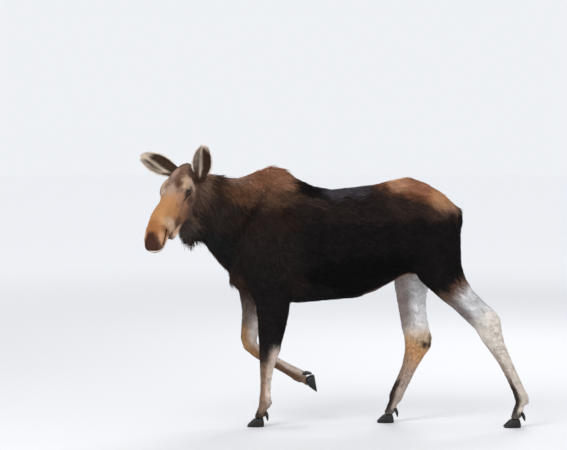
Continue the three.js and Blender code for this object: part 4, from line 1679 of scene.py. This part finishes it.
@dataclass
class Tufts:
    """Tufts of hair, one row for each."""

    root: np.ndarray  # where it grows
    normal: np.ndarray  # which way the skin faces there
    run: np.ndarray  # which way it lies
    across: np.ndarray  # sideways over it
    length: np.ndarray
    width: np.ndarray
    rise: np.ndarray  # how far its tip stands off the skin
    bend: np.ndarray  # how far it curves to one side, as a share of its length
    tone: np.ndarray  # its colour, as light
    flat: np.ndarray  # its root's place on the unwrap

    def only(self, mine: np.ndarray) -> "Tufts":
        """The tufts in these rows."""
        return Tufts(*[getattr(self, one.name)[mine] for one in fields(self)])

    def ring(
        self, forward: float, up: np.ndarray, wide: float, thick: float, side: np.ndarray
    ) -> list[np.ndarray]:
        """Three corners of each tuft's cross section.

        Args:
            forward: How far along the tuft, as a share of its length.
            up: How far off the skin.
            wide: Its width, as a share of the tuft's.
            thick: Its height, as a share of the tuft's width.
            side: How far to one side.

        Returns:
            The two corners of its underside and the one on top.
        """
        middle = self.root + self.run * (self.length * forward)[:, None]
        middle = middle + self.normal * up[:, None] + self.across * side[:, None]
        half = self.across * (0.5 * wide * self.width)[:, None]
        return [middle - half, middle + half, middle + self.normal * (thick * self.width)[:, None]]

    def corners(self, sunk: float, stout: float) -> np.ndarray:
        """The seven vertices of each tuft: three at its root, three along it and its tip.

        Args:
            sunk: How far the root is under the skin.
            stout: How thick the tufts are, against 1.

        Returns:
            The vertices, seven rows for each tuft.
        """
        none = np.zeros(len(self.root))
        thick = TUFT_THICK * stout
        base = self.ring(0.0, none - sunk, TUFT_ROOT * stout, thick, none)
        side = BODY_BEND * self.bend * self.length
        body = self.ring(BODY_ALONG, BODY_RISE * self.rise, 1.0, thick, side)
        tip = self.root + self.run * self.length[:, None] + self.normal * self.rise[:, None]
        tip = tip + self.across * (self.bend * self.length)[:, None]
        return np.stack([*base, *body, tip], axis=1).reshape(-1, 3)


# the faces of a tuft, by its seven vertices: those against the skin, and those that show
HIDDEN_FACES = np.array([[0, 2, 1], [0, 1, 4], [0, 4, 3], [3, 4, 6]])
SEEN_FACES = np.array([[1, 2, 5], [1, 5, 4], [2, 0, 3], [2, 3, 5], [4, 5, 6], [5, 3, 6]])
# where each vertex is in the tuft's spot on the unwrap, and its painted shade: darker towards the root as
# shade among the tufts, and lighter at the tip
TUFT_SPOTS = np.array([[0, 0], [1, 0], [0.5, 0.25], [0, 0.5], [1, 0.5], [0.5, 0.7], [0.5, 1.0]]) - 0.5
TUFT_SHADES = np.array([-0.28, -0.28, -0.20, -0.02, -0.02, 0.04, 0.16])


@dataclass
class Coat:
    """Tufts of hair that lie over the skin and follow its lie and its markings."""

    seed: int = 11
    most: int = 19900
    patch: float = 0.003
    sunk: float = 0.0012
    stray: float = 0.20
    uneven: float = 0.28
    pale_hairs: float = 0.17
    paler: float = 0.85
    calm_face: float = 0.55
    withers_end: float = -0.22
    rump_start: float = 0.30
    low_leg: float = 2.0
    quick_share: float = 0.35
    uneven_width: float = 0.2
    rise_range: Pair = (0.35, 1.15)
    tone_reach: float = 0.6
    lock_scale: Triple = (0.45, 1.0, 1.0)
    # how much light a tuft keeps: evenly, by its lock of hair and by chance
    tone_base: float = 0.94
    mottle: Triple = (-0.60, 1.00, 0.20)
    pale_limits: Pair = (0.45, 0.12)
    sway: float = 0.7
    bends: Pair = (0.30, 0.06)

    def choose_piece(self, points: np.ndarray, weights: np.ndarray) -> np.ndarray:
        """Which coat piece each root belongs to, as an index into PIECES.

        Args:
            points: The roots, one row each.
            weights: How much each point belongs to each region.

        Returns:
            One index for each root.
        """
        region = np.argmax(weights, axis=1)
        left = points[:, 1] < MIDLINE
        out = np.full(len(points), PIECES.index(RUMP))

        def put(mask: np.ndarray, piece: CoatPiece) -> None:
            """Gives the roots under a mask to a piece."""
            out[mask] = PIECES.index(piece)

        put(region == Region.HEAD.value, FACE_COAT)
        put(np.isin(region, [ear.value for ear in EARS]), EAR_COAT)
        neck = (region == Region.NECK.value) | (region == Region.BELL.value)
        put(neck & left, NECK_LEFT)
        put(neck & ~left, NECK_RIGHT)
        trunk = region == Region.TRUNK.value
        front = trunk & (points[:, 0] < self.withers_end)
        put(front & left, WITHERS_LEFT)
        put(front & ~left, WITHERS_RIGHT)
        middle = trunk & ~front & (points[:, 0] < self.rump_start)
        put(middle & left, FLANK_LEFT)
        put(middle & ~left, FLANK_RIGHT)
        for name, limb in LIMB_LINES.items():
            mine = region == name.value
            low = limb.place(points)[0] > self.low_leg
            put(mine & ~low, FORE_UPPER if name in FORE_LIMBS else HIND_UPPER)
            put(mine & low, LOWER_LEGS)
        return out

    def sow(self, skin: "DressedSkin", rng: np.random.Generator) -> tuple[Tufts, np.ndarray]:
        """Grows tufts all over the skin.

        Args:
            skin: The skin with its weights, lie, unwrap and measures.
            rng: Where chance comes from. The order of what is drawn decides every tuft.

        Returns:
            The tufts, and how much the root of each belongs to each region.
        """
        mesh = skin.mesh
        mesh.calc_loop_triangles()
        tri = np.empty(len(mesh.loop_triangles) * 3, np.int32)
        loops = tri.copy()
        mesh.loop_triangles.foreach_get("vertices", tri)
        mesh.loop_triangles.foreach_get("loops", loops)
        tri, loops = tri.reshape(-1, 3), loops.reshape(-1, 3)
        corner = skin.points[tri]
        sides = np.cross(corner[:, 1] - corner[:, 0], corner[:, 2] - corner[:, 0])
        area = 0.5 * np.linalg.norm(sides, axis=1)
        load = np.cumsum(area * skin.measures[tri, DENSITY].mean(axis=1) * skin.grows[tri].min(axis=1))
        count = int(load[-1] * (1.0))
        pick = np.searchsorted(load, (np.arange(count) + rng.random(count)) / count * load[-1])
        pick = np.minimum(pick, len(tri) - 1)
        a, b = np.sqrt(rng.random(count)), rng.random(count)
        share = np.stack([1 - a, a * (1 - b), a * b], axis=1)
        chosen = tri[pick]

        def over(values: np.ndarray) -> np.ndarray:
            """A value of the skin's vertices at each root."""
            return (values[chosen] * share.reshape(count, 3, *[1] * (values.ndim - 1))).sum(axis=1)

        root, normal = over(skin.points), unit(over(skin.normals))
        weights, measures, run = over(skin.weights), over(skin.measures), over(skin.run)
        flat = (skin.unwrap.flat[loops[pick]] * share[:, :, None]).sum(axis=1)
        length = measures[:, LENGTH] * (1 + self.uneven * rng.standard_normal(count).clip(-2, 2))
        width = measures[:, WIDTH] * (1 + self.uneven_width * rng.standard_normal(count).clip(-2, 2))
        least, more = self.rise_range
        rise = measures[:, RISE] * (least + more * rng.random(count))
        tone_at = root - run * (length * rng.random(count) * self.tone_reach)[:, None]
        tone = self.mottled(skin.markings.colours(tone_at, normal, weights), root, weights, rng)
        sway = (noise(root, *SWAY_NOISE) - 0.5) * self.sway + rng.standard_normal(count) * self.stray
        run = unit(run + np.cross(normal, run) * sway[:, None])
        locked, single = self.bends
        bend = (noise(root, *BEND_NOISE) - 0.5) * locked + rng.standard_normal(count) * single
        return Tufts(root, normal, run, np.cross(normal, run), length, width, rise, bend, tone, flat), weights

    def mottled(
        self, tone: np.ndarray, root: np.ndarray, weights: np.ndarray, rng: np.random.Generator
    ) -> np.ndarray:
        """Makes locks and single hairs lighter and darker.

        Args:
            tone: The tufts' colours by the coat's markings.
            root: Where each grows.
            weights: How much each root belongs to each region.
            rng: Where chance comes from.

        Returns:
            The tufts' colours.
        """
        stretched = root * np.array(self.lock_scale)
        lock = 0.5 * noise(stretched, *LOCK_COARSE) + 0.5 * noise(stretched, *LOCK_FINE)
        least, by_lock, by_chance = self.mottle
        mottle = least + by_lock * lock + by_chance * rng.random(len(root))
        calm = 1.0 - self.calm_face * share_of(weights, Region.HEAD)
        tone = tone * (self.tone_base + mottle * calm)[:, None]
        pale = (rng.random(len(root)) < self.pale_hairs) * smoothstep(*self.pale_limits, tone.max(axis=1))
        return tone * (1.0 + self.paler * pale)[:, None]

    def build(self, skin: "DressedSkin") -> list[bpy.types.Object]:
        """Grows every tuft, and joins them by piece.

        Args:
            skin: The skin with its weights, lie, unwrap and measures.

        Returns:
            The coat's objects.
        """
        rng = np.random.default_rng(self.seed)
        tufts, weights = self.sow(skin, rng)
        piece = self.choose_piece(tufts.root, weights)
        objects = []
        for index, what in enumerate(PIECES):
            mine = np.flatnonzero(piece == index)
            if len(mine) > self.most:
                LOG.info("%s thinned from %d tufts", what.name, len(mine))
                mine = rng.permutation(mine)[: self.most]
            if len(mine):
                objects.append(self.join(what, tufts.only(mine)))
        return objects

    def join(self, what: CoatPiece, tufts: Tufts) -> bpy.types.Object:
        """Makes one piece: each tuft is a bent, tapered lock, three-sided and closed.

        Args:
            what: The piece's name, slot and look.
            tufts: Its tufts.

        Returns:
            The piece.
        """
        count = len(tufts.root)
        verts = tufts.corners(self.sunk, what.stout)
        faces = np.concatenate([HIDDEN_FACES, SEEN_FACES])
        index = (np.arange(count)[:, None, None] * len(TUFT_SPOTS) + faces[None]).reshape(-1)
        mesh = bpy.data.meshes.new(what.name)
        mesh.vertices.add(len(verts))
        mesh.vertices.foreach_set("co", verts.astype(np.float32).ravel())
        mesh.loops.add(len(index))
        mesh.loops.foreach_set("vertex_index", index.astype(np.int32))
        mesh.polygons.add(len(index) // 3)
        mesh.polygons.foreach_set("loop_start", np.arange(0, len(index), 3, dtype=np.int32))
        mesh.update(calc_edges=True)
        # painted shade: each tuft is darker towards its root
        shade = 1.0 + what.deep * TUFT_SHADES
        write_colour(mesh, TINT, (tufts.tone[:, None, :] * shade[None, :, None]).reshape(-1, 3))
        places = (tufts.flat[:, None, :] + TUFT_SPOTS[None] * self.patch).reshape(-1, 2)
        write_map(mesh, BAKE_MAP, places[index])
        # the underside is flat shaded, so that it doesn't darken the sides that show
        smooth = np.arange(len(faces)) >= len(HIDDEN_FACES)
        mesh.polygons.foreach_set("use_smooth", np.tile(smooth, count))
        obj = new_object(what.name, mesh)
        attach(obj, BODY)
        LOG.info("%s: %d tufts", what.name, count)
        return obj


@dataclass
class DressedSkin:
    """The skin with all that the coat needs to know of it."""

    shape: Skin
    obj: bpy.types.Object
    markings: Markings
    # how far from the lids, the lines and the nose the skin is bare, and where it is dark or wet
    bare_lids: Pair = (1.32, 1.18)
    dark_lids: Pair = (1.30, 1.12)
    wet_lids: Pair = (1.2, 1.0)
    bare_nostril: Pair = (0.013, 0.010)
    bare_mouth: Pair = (0.0075, 0.005)
    nose_place: Triple = (-0.655, 0, -0.060)
    nose_radii: Triple = (0.040, 0.036, 0.042)
    nose_edge: Pair = (1.1, 0.8)
    nose_wet: float = 0.8
    hoof_top: float = 0.070
    region_rounds: int = 7
    measure_rounds: int = 4
    lie_rounds: int = 10

    def __post_init__(self) -> None:
        """Measures the skin, lays it out flat and colours it."""
        self.mesh = self.obj.data
        self.points, self.normals = points_of(self.mesh), points_of(self.mesh, "normal")
        region, _ = self.shape.classify(self.points)
        web = Web(self.mesh)
        self.weights = web.smooth(np.eye(len(Region))[region], self.region_rounds)
        self.measures = web.smooth(fur_measures(self.points, self.weights), self.measure_rounds)
        run = web.smooth(lie(self.points, self.normals, self.weights), self.lie_rounds)
        self.run = unit(run - self.normals * (run * self.normals).sum(axis=1, keepdims=True))
        self.unwrap = Unwrap(self.mesh, self.weights)
        own = to_half_head(self.points)
        lids = self.shape.lids.opening(self.points)
        nostril = line_distance(own, NOSTRIL_LINE, NOSTRIL_DEEP)
        nose = np.linalg.norm((own - np.array(self.nose_place)) / np.array(self.nose_radii), axis=1)
        nose = smoothstep(*self.nose_edge, nose)
        bare = smoothstep(*self.bare_lids, lids)
        bare = np.maximum(bare, smoothstep(*self.bare_nostril, nostril))
        bare = np.maximum(bare, smoothstep(*self.bare_mouth, line_distance(own, MOUTH_LINE)))
        self.grows = 1.0 - np.maximum(bare, nose)
        self.grows[self.points[:, 2] < self.hoof_top] = 0.0
        colours = self.markings.colours(self.points, self.normals, self.weights)
        write_colour(self.mesh, TINT, blend(colours, DARK_SKIN_AND_SHADE, smoothstep(*self.dark_lids, lids)))
        wet = np.maximum(self.nose_wet * nose, smoothstep(*self.wet_lids, lids))
        layer = self.mesh.attributes.new(WET, "FLOAT", "POINT")
        layer.data.foreach_set("value", wet.astype(np.float32))


# ---- finishes ----------------------------------------------------------------------------------
def group(name: str, inputs: dict[str, float | None], outputs: dict[str, str]) -> bpy.types.NodeTree:
    """An empty shader group with named sockets.

    Args:
        name: The group's name.
        inputs: Each input and its value; None is a colour.
        outputs: Each output and its kind of socket.

    Returns:
        The group, with its input and output nodes added.
    """
    tree = bpy.data.node_groups.new(name, "ShaderNodeTree")
    for label, value in inputs.items():
        kind = "NodeSocketColor" if value is None else "NodeSocketFloat"
        socket = tree.interface.new_socket(label, in_out="INPUT", socket_type=kind)
        if value is not None:
            socket.default_value = value
    for label, kind in outputs.items():
        tree.interface.new_socket(label, in_out="OUTPUT", socket_type=kind)
    tree.nodes.new("NodeGroupInput").name = "in"
    tree.nodes.new("NodeGroupOutput").name = "out"
    return tree


def node(tree: bpy.types.NodeTree, kind: str, **settings: object) -> bpy.types.Node:
    """Adds a node and sets its properties, or its inputs where a setting is given as in_N.

    Args:
        tree: The nodes that it joins.
        kind: Blender's name for its kind.
        settings: Its properties by name, and its inputs as in_0, in_1 and so on.

    Returns:
        The node.
    """
    made = tree.nodes.new(kind)
    for key, value in settings.items():
        if key.startswith("in_"):
            made.inputs[int(key[3:])].default_value = value
        else:
            setattr(made, key, value)
    return made


def wire(tree: bpy.types.NodeTree, *links: Link) -> None:
    """Joins sockets: each link is a node and its output, then a node and its input."""
    for source, output, target, entry in links:
        tree.links.new(source.outputs[output], target.inputs[entry])


def set_inputs(made: bpy.types.Node, **values: object) -> None:
    """Sets a node's inputs by name, with underscores for spaces."""
    for name, value in values.items():
        made.inputs[name.replace("_", " ")].default_value = value


class Effects:
    """The shader groups that several finishes share."""

    def __init__(self) -> None:
        """Builds the groups."""
        self.hair = self.hair_variation()
        self.streaks = self.fur_streaks()

    def hair_variation(self) -> bpy.types.NodeTree:
        """Lighter and darker hairs over a colour.

        Returns:
            The group.
        """
        tree = group(
            "hair_variation",
            {"Colour": None, "Scale": 60.0, "Contrast": 0.35},
            {"Colour": "NodeSocketColor", "Roughness": "NodeSocketFloat"},
        )
        start, end = tree.nodes["in"], tree.nodes["out"]
        place = node(tree, "ShaderNodeTexCoord")
        grain = node(tree, "ShaderNodeTexNoise")
        set_inputs(grain, Detail=3.0)
        centre = node(tree, "ShaderNodeMath", operation="SUBTRACT", in_1=0.5)
        spread = node(tree, "ShaderNodeMath", operation="MULTIPLY_ADD", in_2=1.0)
        lit = node(tree, "ShaderNodeVectorMath", operation="SCALE")
        rough = node(tree, "ShaderNodeMapRange", in_3=0.60, in_4=0.80)
        wire(
            tree,
            (place, "Object", grain, "Vector"),
            (start, "Scale", grain, "Scale"),
            (grain, "Fac", centre, 0),
            (centre, 0, spread, 0),
            (start, "Contrast", spread, 1),
            (start, "Colour", lit, 0),
            (spread, 0, lit, "Scale"),
            (grain, "Fac", rough, "Value"),
            (lit, 0, end, "Colour"),
            (rough, 0, end, "Roughness"),
        )
        return tree

    def fur_streaks(self) -> bpy.types.NodeTree:
        """Fine ridges along the lie of the hair, from a map of the skin.

        Returns:
            The group.
        """
        tree = group("fur_streaks", {"Fineness": 420.0, "Length": 14.0}, {"Height": "NodeSocketFloat"})
        start, end = tree.nodes["in"], tree.nodes["out"]
        place = node(tree, "ShaderNodeUVMap", uv_map=LIE_MAP)
        split = node(tree, "ShaderNodeSeparateXYZ")
        along = node(tree, "ShaderNodeMath", operation="MULTIPLY")
        across = node(tree, "ShaderNodeMath", operation="MULTIPLY")
        both = node(tree, "ShaderNodeCombineXYZ")
        grain = node(tree, "ShaderNodeTexNoise", noise_dimensions="2D")
        set_inputs(grain, Scale=1.0, Detail=2.0)
        wire(
            tree,
            (place, "UV", split, 0),
            (split, 0, along, 0),
            (start, "Length", along, 1),
            (split, 1, across, 0),
            (start, "Fineness", across, 1),
            (along, 0, both, 0),
            (across, 0, both, 1),
            (both, 0, grain, "Vector"),
            (grain, "Fac", end, "Height"),
        )
        return tree


def bump_map(tree: bpy.types.NodeTree, strength: float, distance: float) -> bpy.types.Node:
    """A node that makes relief of a height.

    Args:
        tree: The nodes that it joins.
        strength: How much it shows.
        distance: How high it is, in metres.

    Returns:
        The node.
    """
    bump = node(tree, "ShaderNodeBump")
    set_inputs(bump, Strength=strength, Distance=distance)
    return bump


def mixed(tree: bpy.types.NodeTree, first: Triple, second: Triple) -> bpy.types.Node:
    """A node that mixes two tones.

    Args:
        tree: The nodes that it joins.
        first: The tone at 0.
        second: The tone at 1.

    Returns:
        The node.
    """
    mix = node(tree, "ShaderNodeMix", data_type="RGBA")
    set_inputs(mix, A=(*linear(first), 1.0), B=(*linear(second), 1.0))
    return mix


@dataclass(frozen=True)
class Finish:
    """A finish made of one Principled shader."""

    name: str
    gloss: float = 0.35
    sheen: float = 0.0
    grain: float = 60.0
    contrast: float = 0.35

    def start(self) -> tuple[bpy.types.Material, bpy.types.NodeTree, bpy.types.Node]:
        """A new material, its nodes and its shader.

        Returns:
            The three, with gloss and sheen set.
        """
        material = bpy.data.materials.new(self.name)
        material.use_nodes = True
        shader = material.node_tree.nodes["Principled BSDF"]
        set_inputs(shader, Specular_IOR_Level=self.gloss, Sheen_Weight=self.sheen, Sheen_Roughness=0.5)
        return material, material.node_tree, shader

    def hair(self, tree: bpy.types.NodeTree, effects: Effects) -> bpy.types.Node:
        """The group of lighter and darker hairs, with this finish's grain and contrast.

        Args:
            tree: The nodes that it joins.
            effects: The shared shader groups.

        Returns:
            The node of the group.
        """
        made = node(tree, "ShaderNodeGroup", node_tree=effects.hair)
        set_inputs(made, Scale=self.grain, Contrast=self.contrast)
        return made


class HairFinish(Finish):
    """Hair: the coat's own colour with lighter and darker hairs."""

    def build(self, effects: Effects) -> bpy.types.Material:
        """Makes the material.

        Args:
            effects: The shared shader groups.

        Returns:
            The material.
        """
        material, tree, shader = self.start()
        tint = node(tree, "ShaderNodeAttribute", attribute_name=TINT)
        hair = self.hair(tree, effects)
        wire(
            tree,
            (tint, "Color", hair, "Colour"),
            (hair, "Colour", shader, "Base Color"),
            (hair, "Roughness", shader, "Roughness"),
        )
        return material


class SkinFinish(Finish):
    """The skin and its short flat fur: streaked, and smooth where it is bare and wet."""

    def build(self, effects: Effects) -> bpy.types.Material:
        """Makes the material.

        Args:
            effects: The shared shader groups.

        Returns:
            The material.
        """
        material, tree, shader = self.start()
        tint = node(tree, "ShaderNodeAttribute", attribute_name=TINT)
        wet = node(tree, "ShaderNodeAttribute", attribute_name=WET)
        hair = self.hair(tree, effects)
        streaks = node(tree, "ShaderNodeGroup", node_tree=effects.streaks)
        dry = node(tree, "ShaderNodeMath", operation="SUBTRACT", in_0=1.0)
        height = node(tree, "ShaderNodeMath", operation="MULTIPLY")
        bump = bump_map(tree, 0.5, 0.002)
        slick = node(tree, "ShaderNodeMapRange", in_3=0.78, in_4=0.34)
        wire(
            tree,
            (tint, "Color", hair, "Colour"),
            (hair, "Colour", shader, "Base Color"),
            (wet, "Fac", dry, 1),
            (streaks, "Height", height, 0),
            (dry, 0, height, 1),
            (height, 0, bump, "Height"),
            (bump, "Normal", shader, "Normal"),
            (wet, "Fac", slick, "Value"),
            (slick, 0, shader, "Roughness"),
        )
        return material


@dataclass(frozen=True)
class HornFinish(Finish):
    """Horn of the hooves: nearly black, paler in rings of growth."""

    dark: Triple = (17, 15, 14)
    worn: Triple = (54, 48, 42)
    stretch: Triple = (18.0, 18.0, 260.0)

    def build(self, effects: Effects) -> bpy.types.Material:
        """Makes the material.

        Args:
            effects: The shared shader groups.

        Returns:
            The material.
        """
        material, tree, shader = self.start()
        place = node(tree, "ShaderNodeTexCoord")
        stretch = node(tree, "ShaderNodeMapping")
        rings = node(tree, "ShaderNodeTexNoise")
        set_inputs(stretch, Scale=self.stretch)
        set_inputs(rings, Scale=1.0)
        mix = mixed(tree, self.dark, self.worn)
        hair = node(tree, "ShaderNodeGroup", node_tree=effects.hair)
        bump = bump_map(tree, 0.4, 0.001)
        shown = node(tree, "ShaderNodeMapRange", in_1=0.45, in_2=0.75, in_4=0.5)
        wire(
            tree,
            (place, "Object", stretch, "Vector"),
            (stretch, 0, rings, "Vector"),
            (rings, "Fac", shown, "Value"),
            (shown, 0, mix, "Factor"),
            (mix, "Result", hair, "Colour"),
            (hair, "Colour", shader, "Base Color"),
            (rings, "Fac", bump, "Height"),
            (bump, "Normal", shader, "Normal"),
        )
        set_inputs(shader, Roughness=0.42)
        return material


class EyeFinish(Finish):
    """The wet eyeball: the iris and pupil are colours of the mesh."""

    def build(self, effects: Effects) -> bpy.types.Material:
        """Makes the material.

        Args:
            effects: The shared shader groups.

        Returns:
            The material.
        """
        material, tree, shader = self.start()
        tint = node(tree, "ShaderNodeAttribute", attribute_name=TINT)
        wire(tree, (tint, "Color", shader, "Base Color"))
        set_inputs(shader, Roughness=0.10, Coat_Weight=0.15, Coat_Roughness=0.03)
        return material


# ---- eyes and hooves ---------------------------------------------------------------------------
@dataclass
class Eyes:
    """Two eyeballs with a long level pupil. Lengths are shares of the eyeball's radius."""

    lids: Lids
    white: Triple = (44, 28, 22)
    iris: Triple = (42, 23, 14)
    pupil: Triple = (8, 6, 6)
    iris_size: float = 0.66
    iris_soft: float = 0.04
    rim_width: float = 0.06
    rim_dark: float = 0.8
    pupil_radii: Pair = (0.34, 0.17)
    cornea: float = 0.05
    cornea_size: float = 0.75
    pupil_edge: Pair = (1.15, 0.9)
    no_iris: float = 2.0  # what counts as the distance from the middle at the back of the eyeball
    no_pupil: float = 9.0

    def build(self, material: bpy.types.Material) -> None:
        """Makes both eyes.

        Args:
            material: The wet eyeball's.
        """
        radius = self.lids.radius
        for label, (centre, axes) in zip(("left", "right"), self.lids.frames()):
            mesh = bpy.data.meshes.new(f"eyeball_{label}")
            with edit(mesh) as bm:
                bmesh.ops.create_uvsphere(bm, u_segments=48, v_segments=32, radius=radius)
            local = points_of(mesh) / radius
            front, away = local[:, 2] > 0, np.hypot(local[:, 0], local[:, 1])
            bulge = 1.0 + self.cornea * smoothstep(self.cornea_size, 0.0, away) * front
            put_points(mesh, (local * bulge[:, None] * radius) @ axes + centre)
            write_colour(mesh, TINT, self.colours(local, np.where(front, away, self.no_iris)))
            shade_smooth(mesh)
            mesh.materials.append(material)
            obj = new_object(f"eyeball_{label}", mesh)
            with edit(mesh) as bm:
                bmesh.ops.recalc_face_normals(bm, faces=bm.faces)
            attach(obj, BODY)
            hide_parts(f"eye_{label}")

    def colours(self, local: np.ndarray, size: np.ndarray) -> np.ndarray:
        """The iris with its dark rim and its pupil, from how far points are from the eye's middle.

        Args:
            local: The places in the eye's own axes, as shares of its radius.
            size: How far each is from its middle, seen from in front.

        Returns:
            Red, green and blue as light, one row for each point.
        """
        wide, tall = self.pupil_radii
        slot = np.hypot(local[:, 0] / wide, local[:, 1] / tall) + (local[:, 2] < 0) * self.no_pupil
        iris = smoothstep(self.iris_size + self.iris_soft, self.iris_size - self.iris_soft, size)
        colour = blend(plain(self.white, len(local)), self.iris, iris)
        colour = blend(colour, self.pupil, smoothstep(*self.pupil_edge, slot))
        return blend(colour, self.pupil, bell(size, self.iris_size, self.rim_width) * self.rim_dark)


@dataclass
class Feet:
    """The hooves and dewclaws, rounded from the solids of horn."""

    flat_angle: float = math.radians(1.0)
    sharp_angle: float = math.radians(60)
    sharpness: float = 0.75

    def build(self, material: bpy.types.Material) -> None:
        """Makes a rounded piece for each solid of horn.

        Args:
            material: The horn's.
        """
        for name in filter(is_horn, sorted(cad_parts)):
            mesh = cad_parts[name].data.copy()
            with edit(mesh) as bm:
                bmesh.ops.remove_doubles(bm, verts=bm.verts, dist=WELD)
                bmesh.ops.dissolve_limit(bm, angle_limit=self.flat_angle, verts=bm.verts, edges=bm.edges)
                crease = bm.edges.layers.float.new("crease_edge")
                for edge in bm.edges:
                    if edge.calc_face_angle(0.0) > self.sharp_angle:
                        edge[crease] = self.sharpness
            obj = new_object(name.replace("hoof", "horn").replace("dewclaw", "claw"), mesh)
            mesh.materials.clear()
            mesh.materials.append(material)
            smooth = obj.modifiers.new("Round", "SUBSURF")
            smooth.levels = smooth.render_levels = 2
            shade_smooth(mesh)
            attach(obj, BODY)
            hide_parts(name)


# ---- the room ----------------------------------------------------------------------------------
@dataclass(frozen=True)
class Lamp:
    """A soft square lamp: where it hangs, what it points at, how wide it is and its power in watts."""

    name: str
    place: Triple
    aim: Triple
    size: float
    power: float

    def hang(self) -> None:
        """Puts the lamp in the scene, where the camera doesn't see it."""
        lamp = bpy.data.lights.new(self.name, "AREA")
        lamp.shape, lamp.size, lamp.energy = "SQUARE", self.size, self.power
        obj = bpy.data.objects.new(self.name, lamp)
        point_at(obj, self.place, self.aim)
        obj.visible_camera = False
        bpy.context.scene.collection.objects.link(obj)


def point_at(obj: bpy.types.Object, place: Triple, aim: Triple) -> None:
    """Puts a lamp or a camera at a place, and turns it towards another."""
    obj.location = place
    obj.rotation_euler = (Vector(aim) - Vector(place)).to_track_quat("-Z", "Y").to_euler()


LAMPS = (
    Lamp("key", (-3.6, -4.6, 6.2), (-0.3, 0.0, 1.3), 3.4, 300.0),
    Lamp("back", (2.2, 5.5, 6.0), (0.0, 0.0, 1.4), 3.5, 260.0),
    Lamp("fill", (3.5, -7.0, 2.5), (0.2, 0.0, 1.1), 4.0, 160.0),
)


@dataclass(frozen=True)
class Studio:
    """A plain pale floor, soft light and the camera."""

    target: Triple = (-0.3466, 0.1168, 1.3568)
    camera_place: Triple = (-0.3466, -13.863, 2.0895)
    lens: float = 131.7
    sensor: float = 36.0
    camera_reach: float = 300.0
    # painted light: the floor is darker near the animal, where the lamps add light, and paler far off, where
    # it meets the surroundings
    floor_near: Triple = (208, 208, 210)
    floor_far: Triple = (252, 252, 253)
    floor_fades: Pair = (3.5, 16.0)
    floor_radius: float = 60.0
    sky: tuple[float, ...] = (0.86, 0.88, 0.91, 1.0)
    sky_strength: float = 1.0

    def floor(self) -> None:
        """Lays the floor, painted darker near the animal and paler far off as painted light."""
        mesh = bpy.data.meshes.new("floor")
        with edit(mesh) as bm:
            bmesh.ops.create_circle(bm, cap_ends=True, segments=96, radius=self.floor_radius)
        material = bpy.data.materials.new("pale_floor")
        material.use_nodes = True
        tree = material.node_tree
        shader = tree.nodes["Principled BSDF"]
        place = node(tree, "ShaderNodeTexCoord")
        away = node(tree, "ShaderNodeVectorMath", operation="LENGTH")
        start, end = self.floor_fades
        fade = node(tree, "ShaderNodeMapRange", interpolation_type="SMOOTHSTEP", in_1=start, in_2=end)
        mix = mixed(tree, self.floor_near, self.floor_far)
        wire(
            tree,
            (place, "Object", away, 0),
            (away, "Value", fade, "Value"),
            (fade, 0, mix, "Factor"),
            (mix, "Result", shader, "Base Color"),
        )
        set_inputs(shader, Roughness=0.85)
        mesh.materials.append(material)
        new_object("floor", mesh)

    def camera(self) -> None:
        """Sets up the camera."""
        lens = bpy.data.cameras.new("camera")
        lens.lens, lens.sensor_width, lens.sensor_fit = self.lens, self.sensor, "HORIZONTAL"
        lens.clip_end = self.camera_reach
        camera = bpy.data.objects.new("camera", lens)
        point_at(camera, self.camera_place, self.target)
        bpy.context.scene.collection.objects.link(camera)
        bpy.context.scene.camera = camera

    def build(self) -> None:
        """Makes the floor, the lamps, the pale surroundings and the camera."""
        self.floor()
        for lamp in LAMPS:
            lamp.hang()
        world = bpy.data.worlds.new("surroundings")
        world.use_nodes = True
        set_inputs(world.node_tree.nodes["Background"], Color=self.sky, Strength=self.sky_strength)
        bpy.context.scene.world = world
        bpy.context.scene.view_settings.view_transform = "Standard"
        self.camera()


# ---- the whole model ---------------------------------------------------------------------------
def main() -> None:
    """Builds the moose, dresses it and sets it in the studio."""
    logging.basicConfig(level=logging.INFO, format="%(name)s: %(message)s")
    effects = Effects()
    shape = Skin()
    obj = shape.build()
    skin = DressedSkin(shape, obj, Markings())
    obj.data.materials.clear()
    obj.data.materials.append(SkinFinish("skin_and_short_fur", gloss=0.12, grain=90.0).build(effects))
    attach(obj, BODY)
    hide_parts(*flesh_nodes())
    LOG.info("skin: %d vertices", len(obj.data.vertices))
    hair = HairFinish("winter_hair", gloss=0.10, grain=120.0).build(effects)
    for piece in Coat().build(skin):
        piece.data.materials.append(hair)
    Eyes(shape.lids).build(EyeFinish("wet_eye", gloss=0.25).build(effects))
    Feet().build(HornFinish("black_horn", gloss=0.3).build(effects))
    Studio().build()


if __name__ == "__main__":
    main()
    bpy.context.view_layer.update()
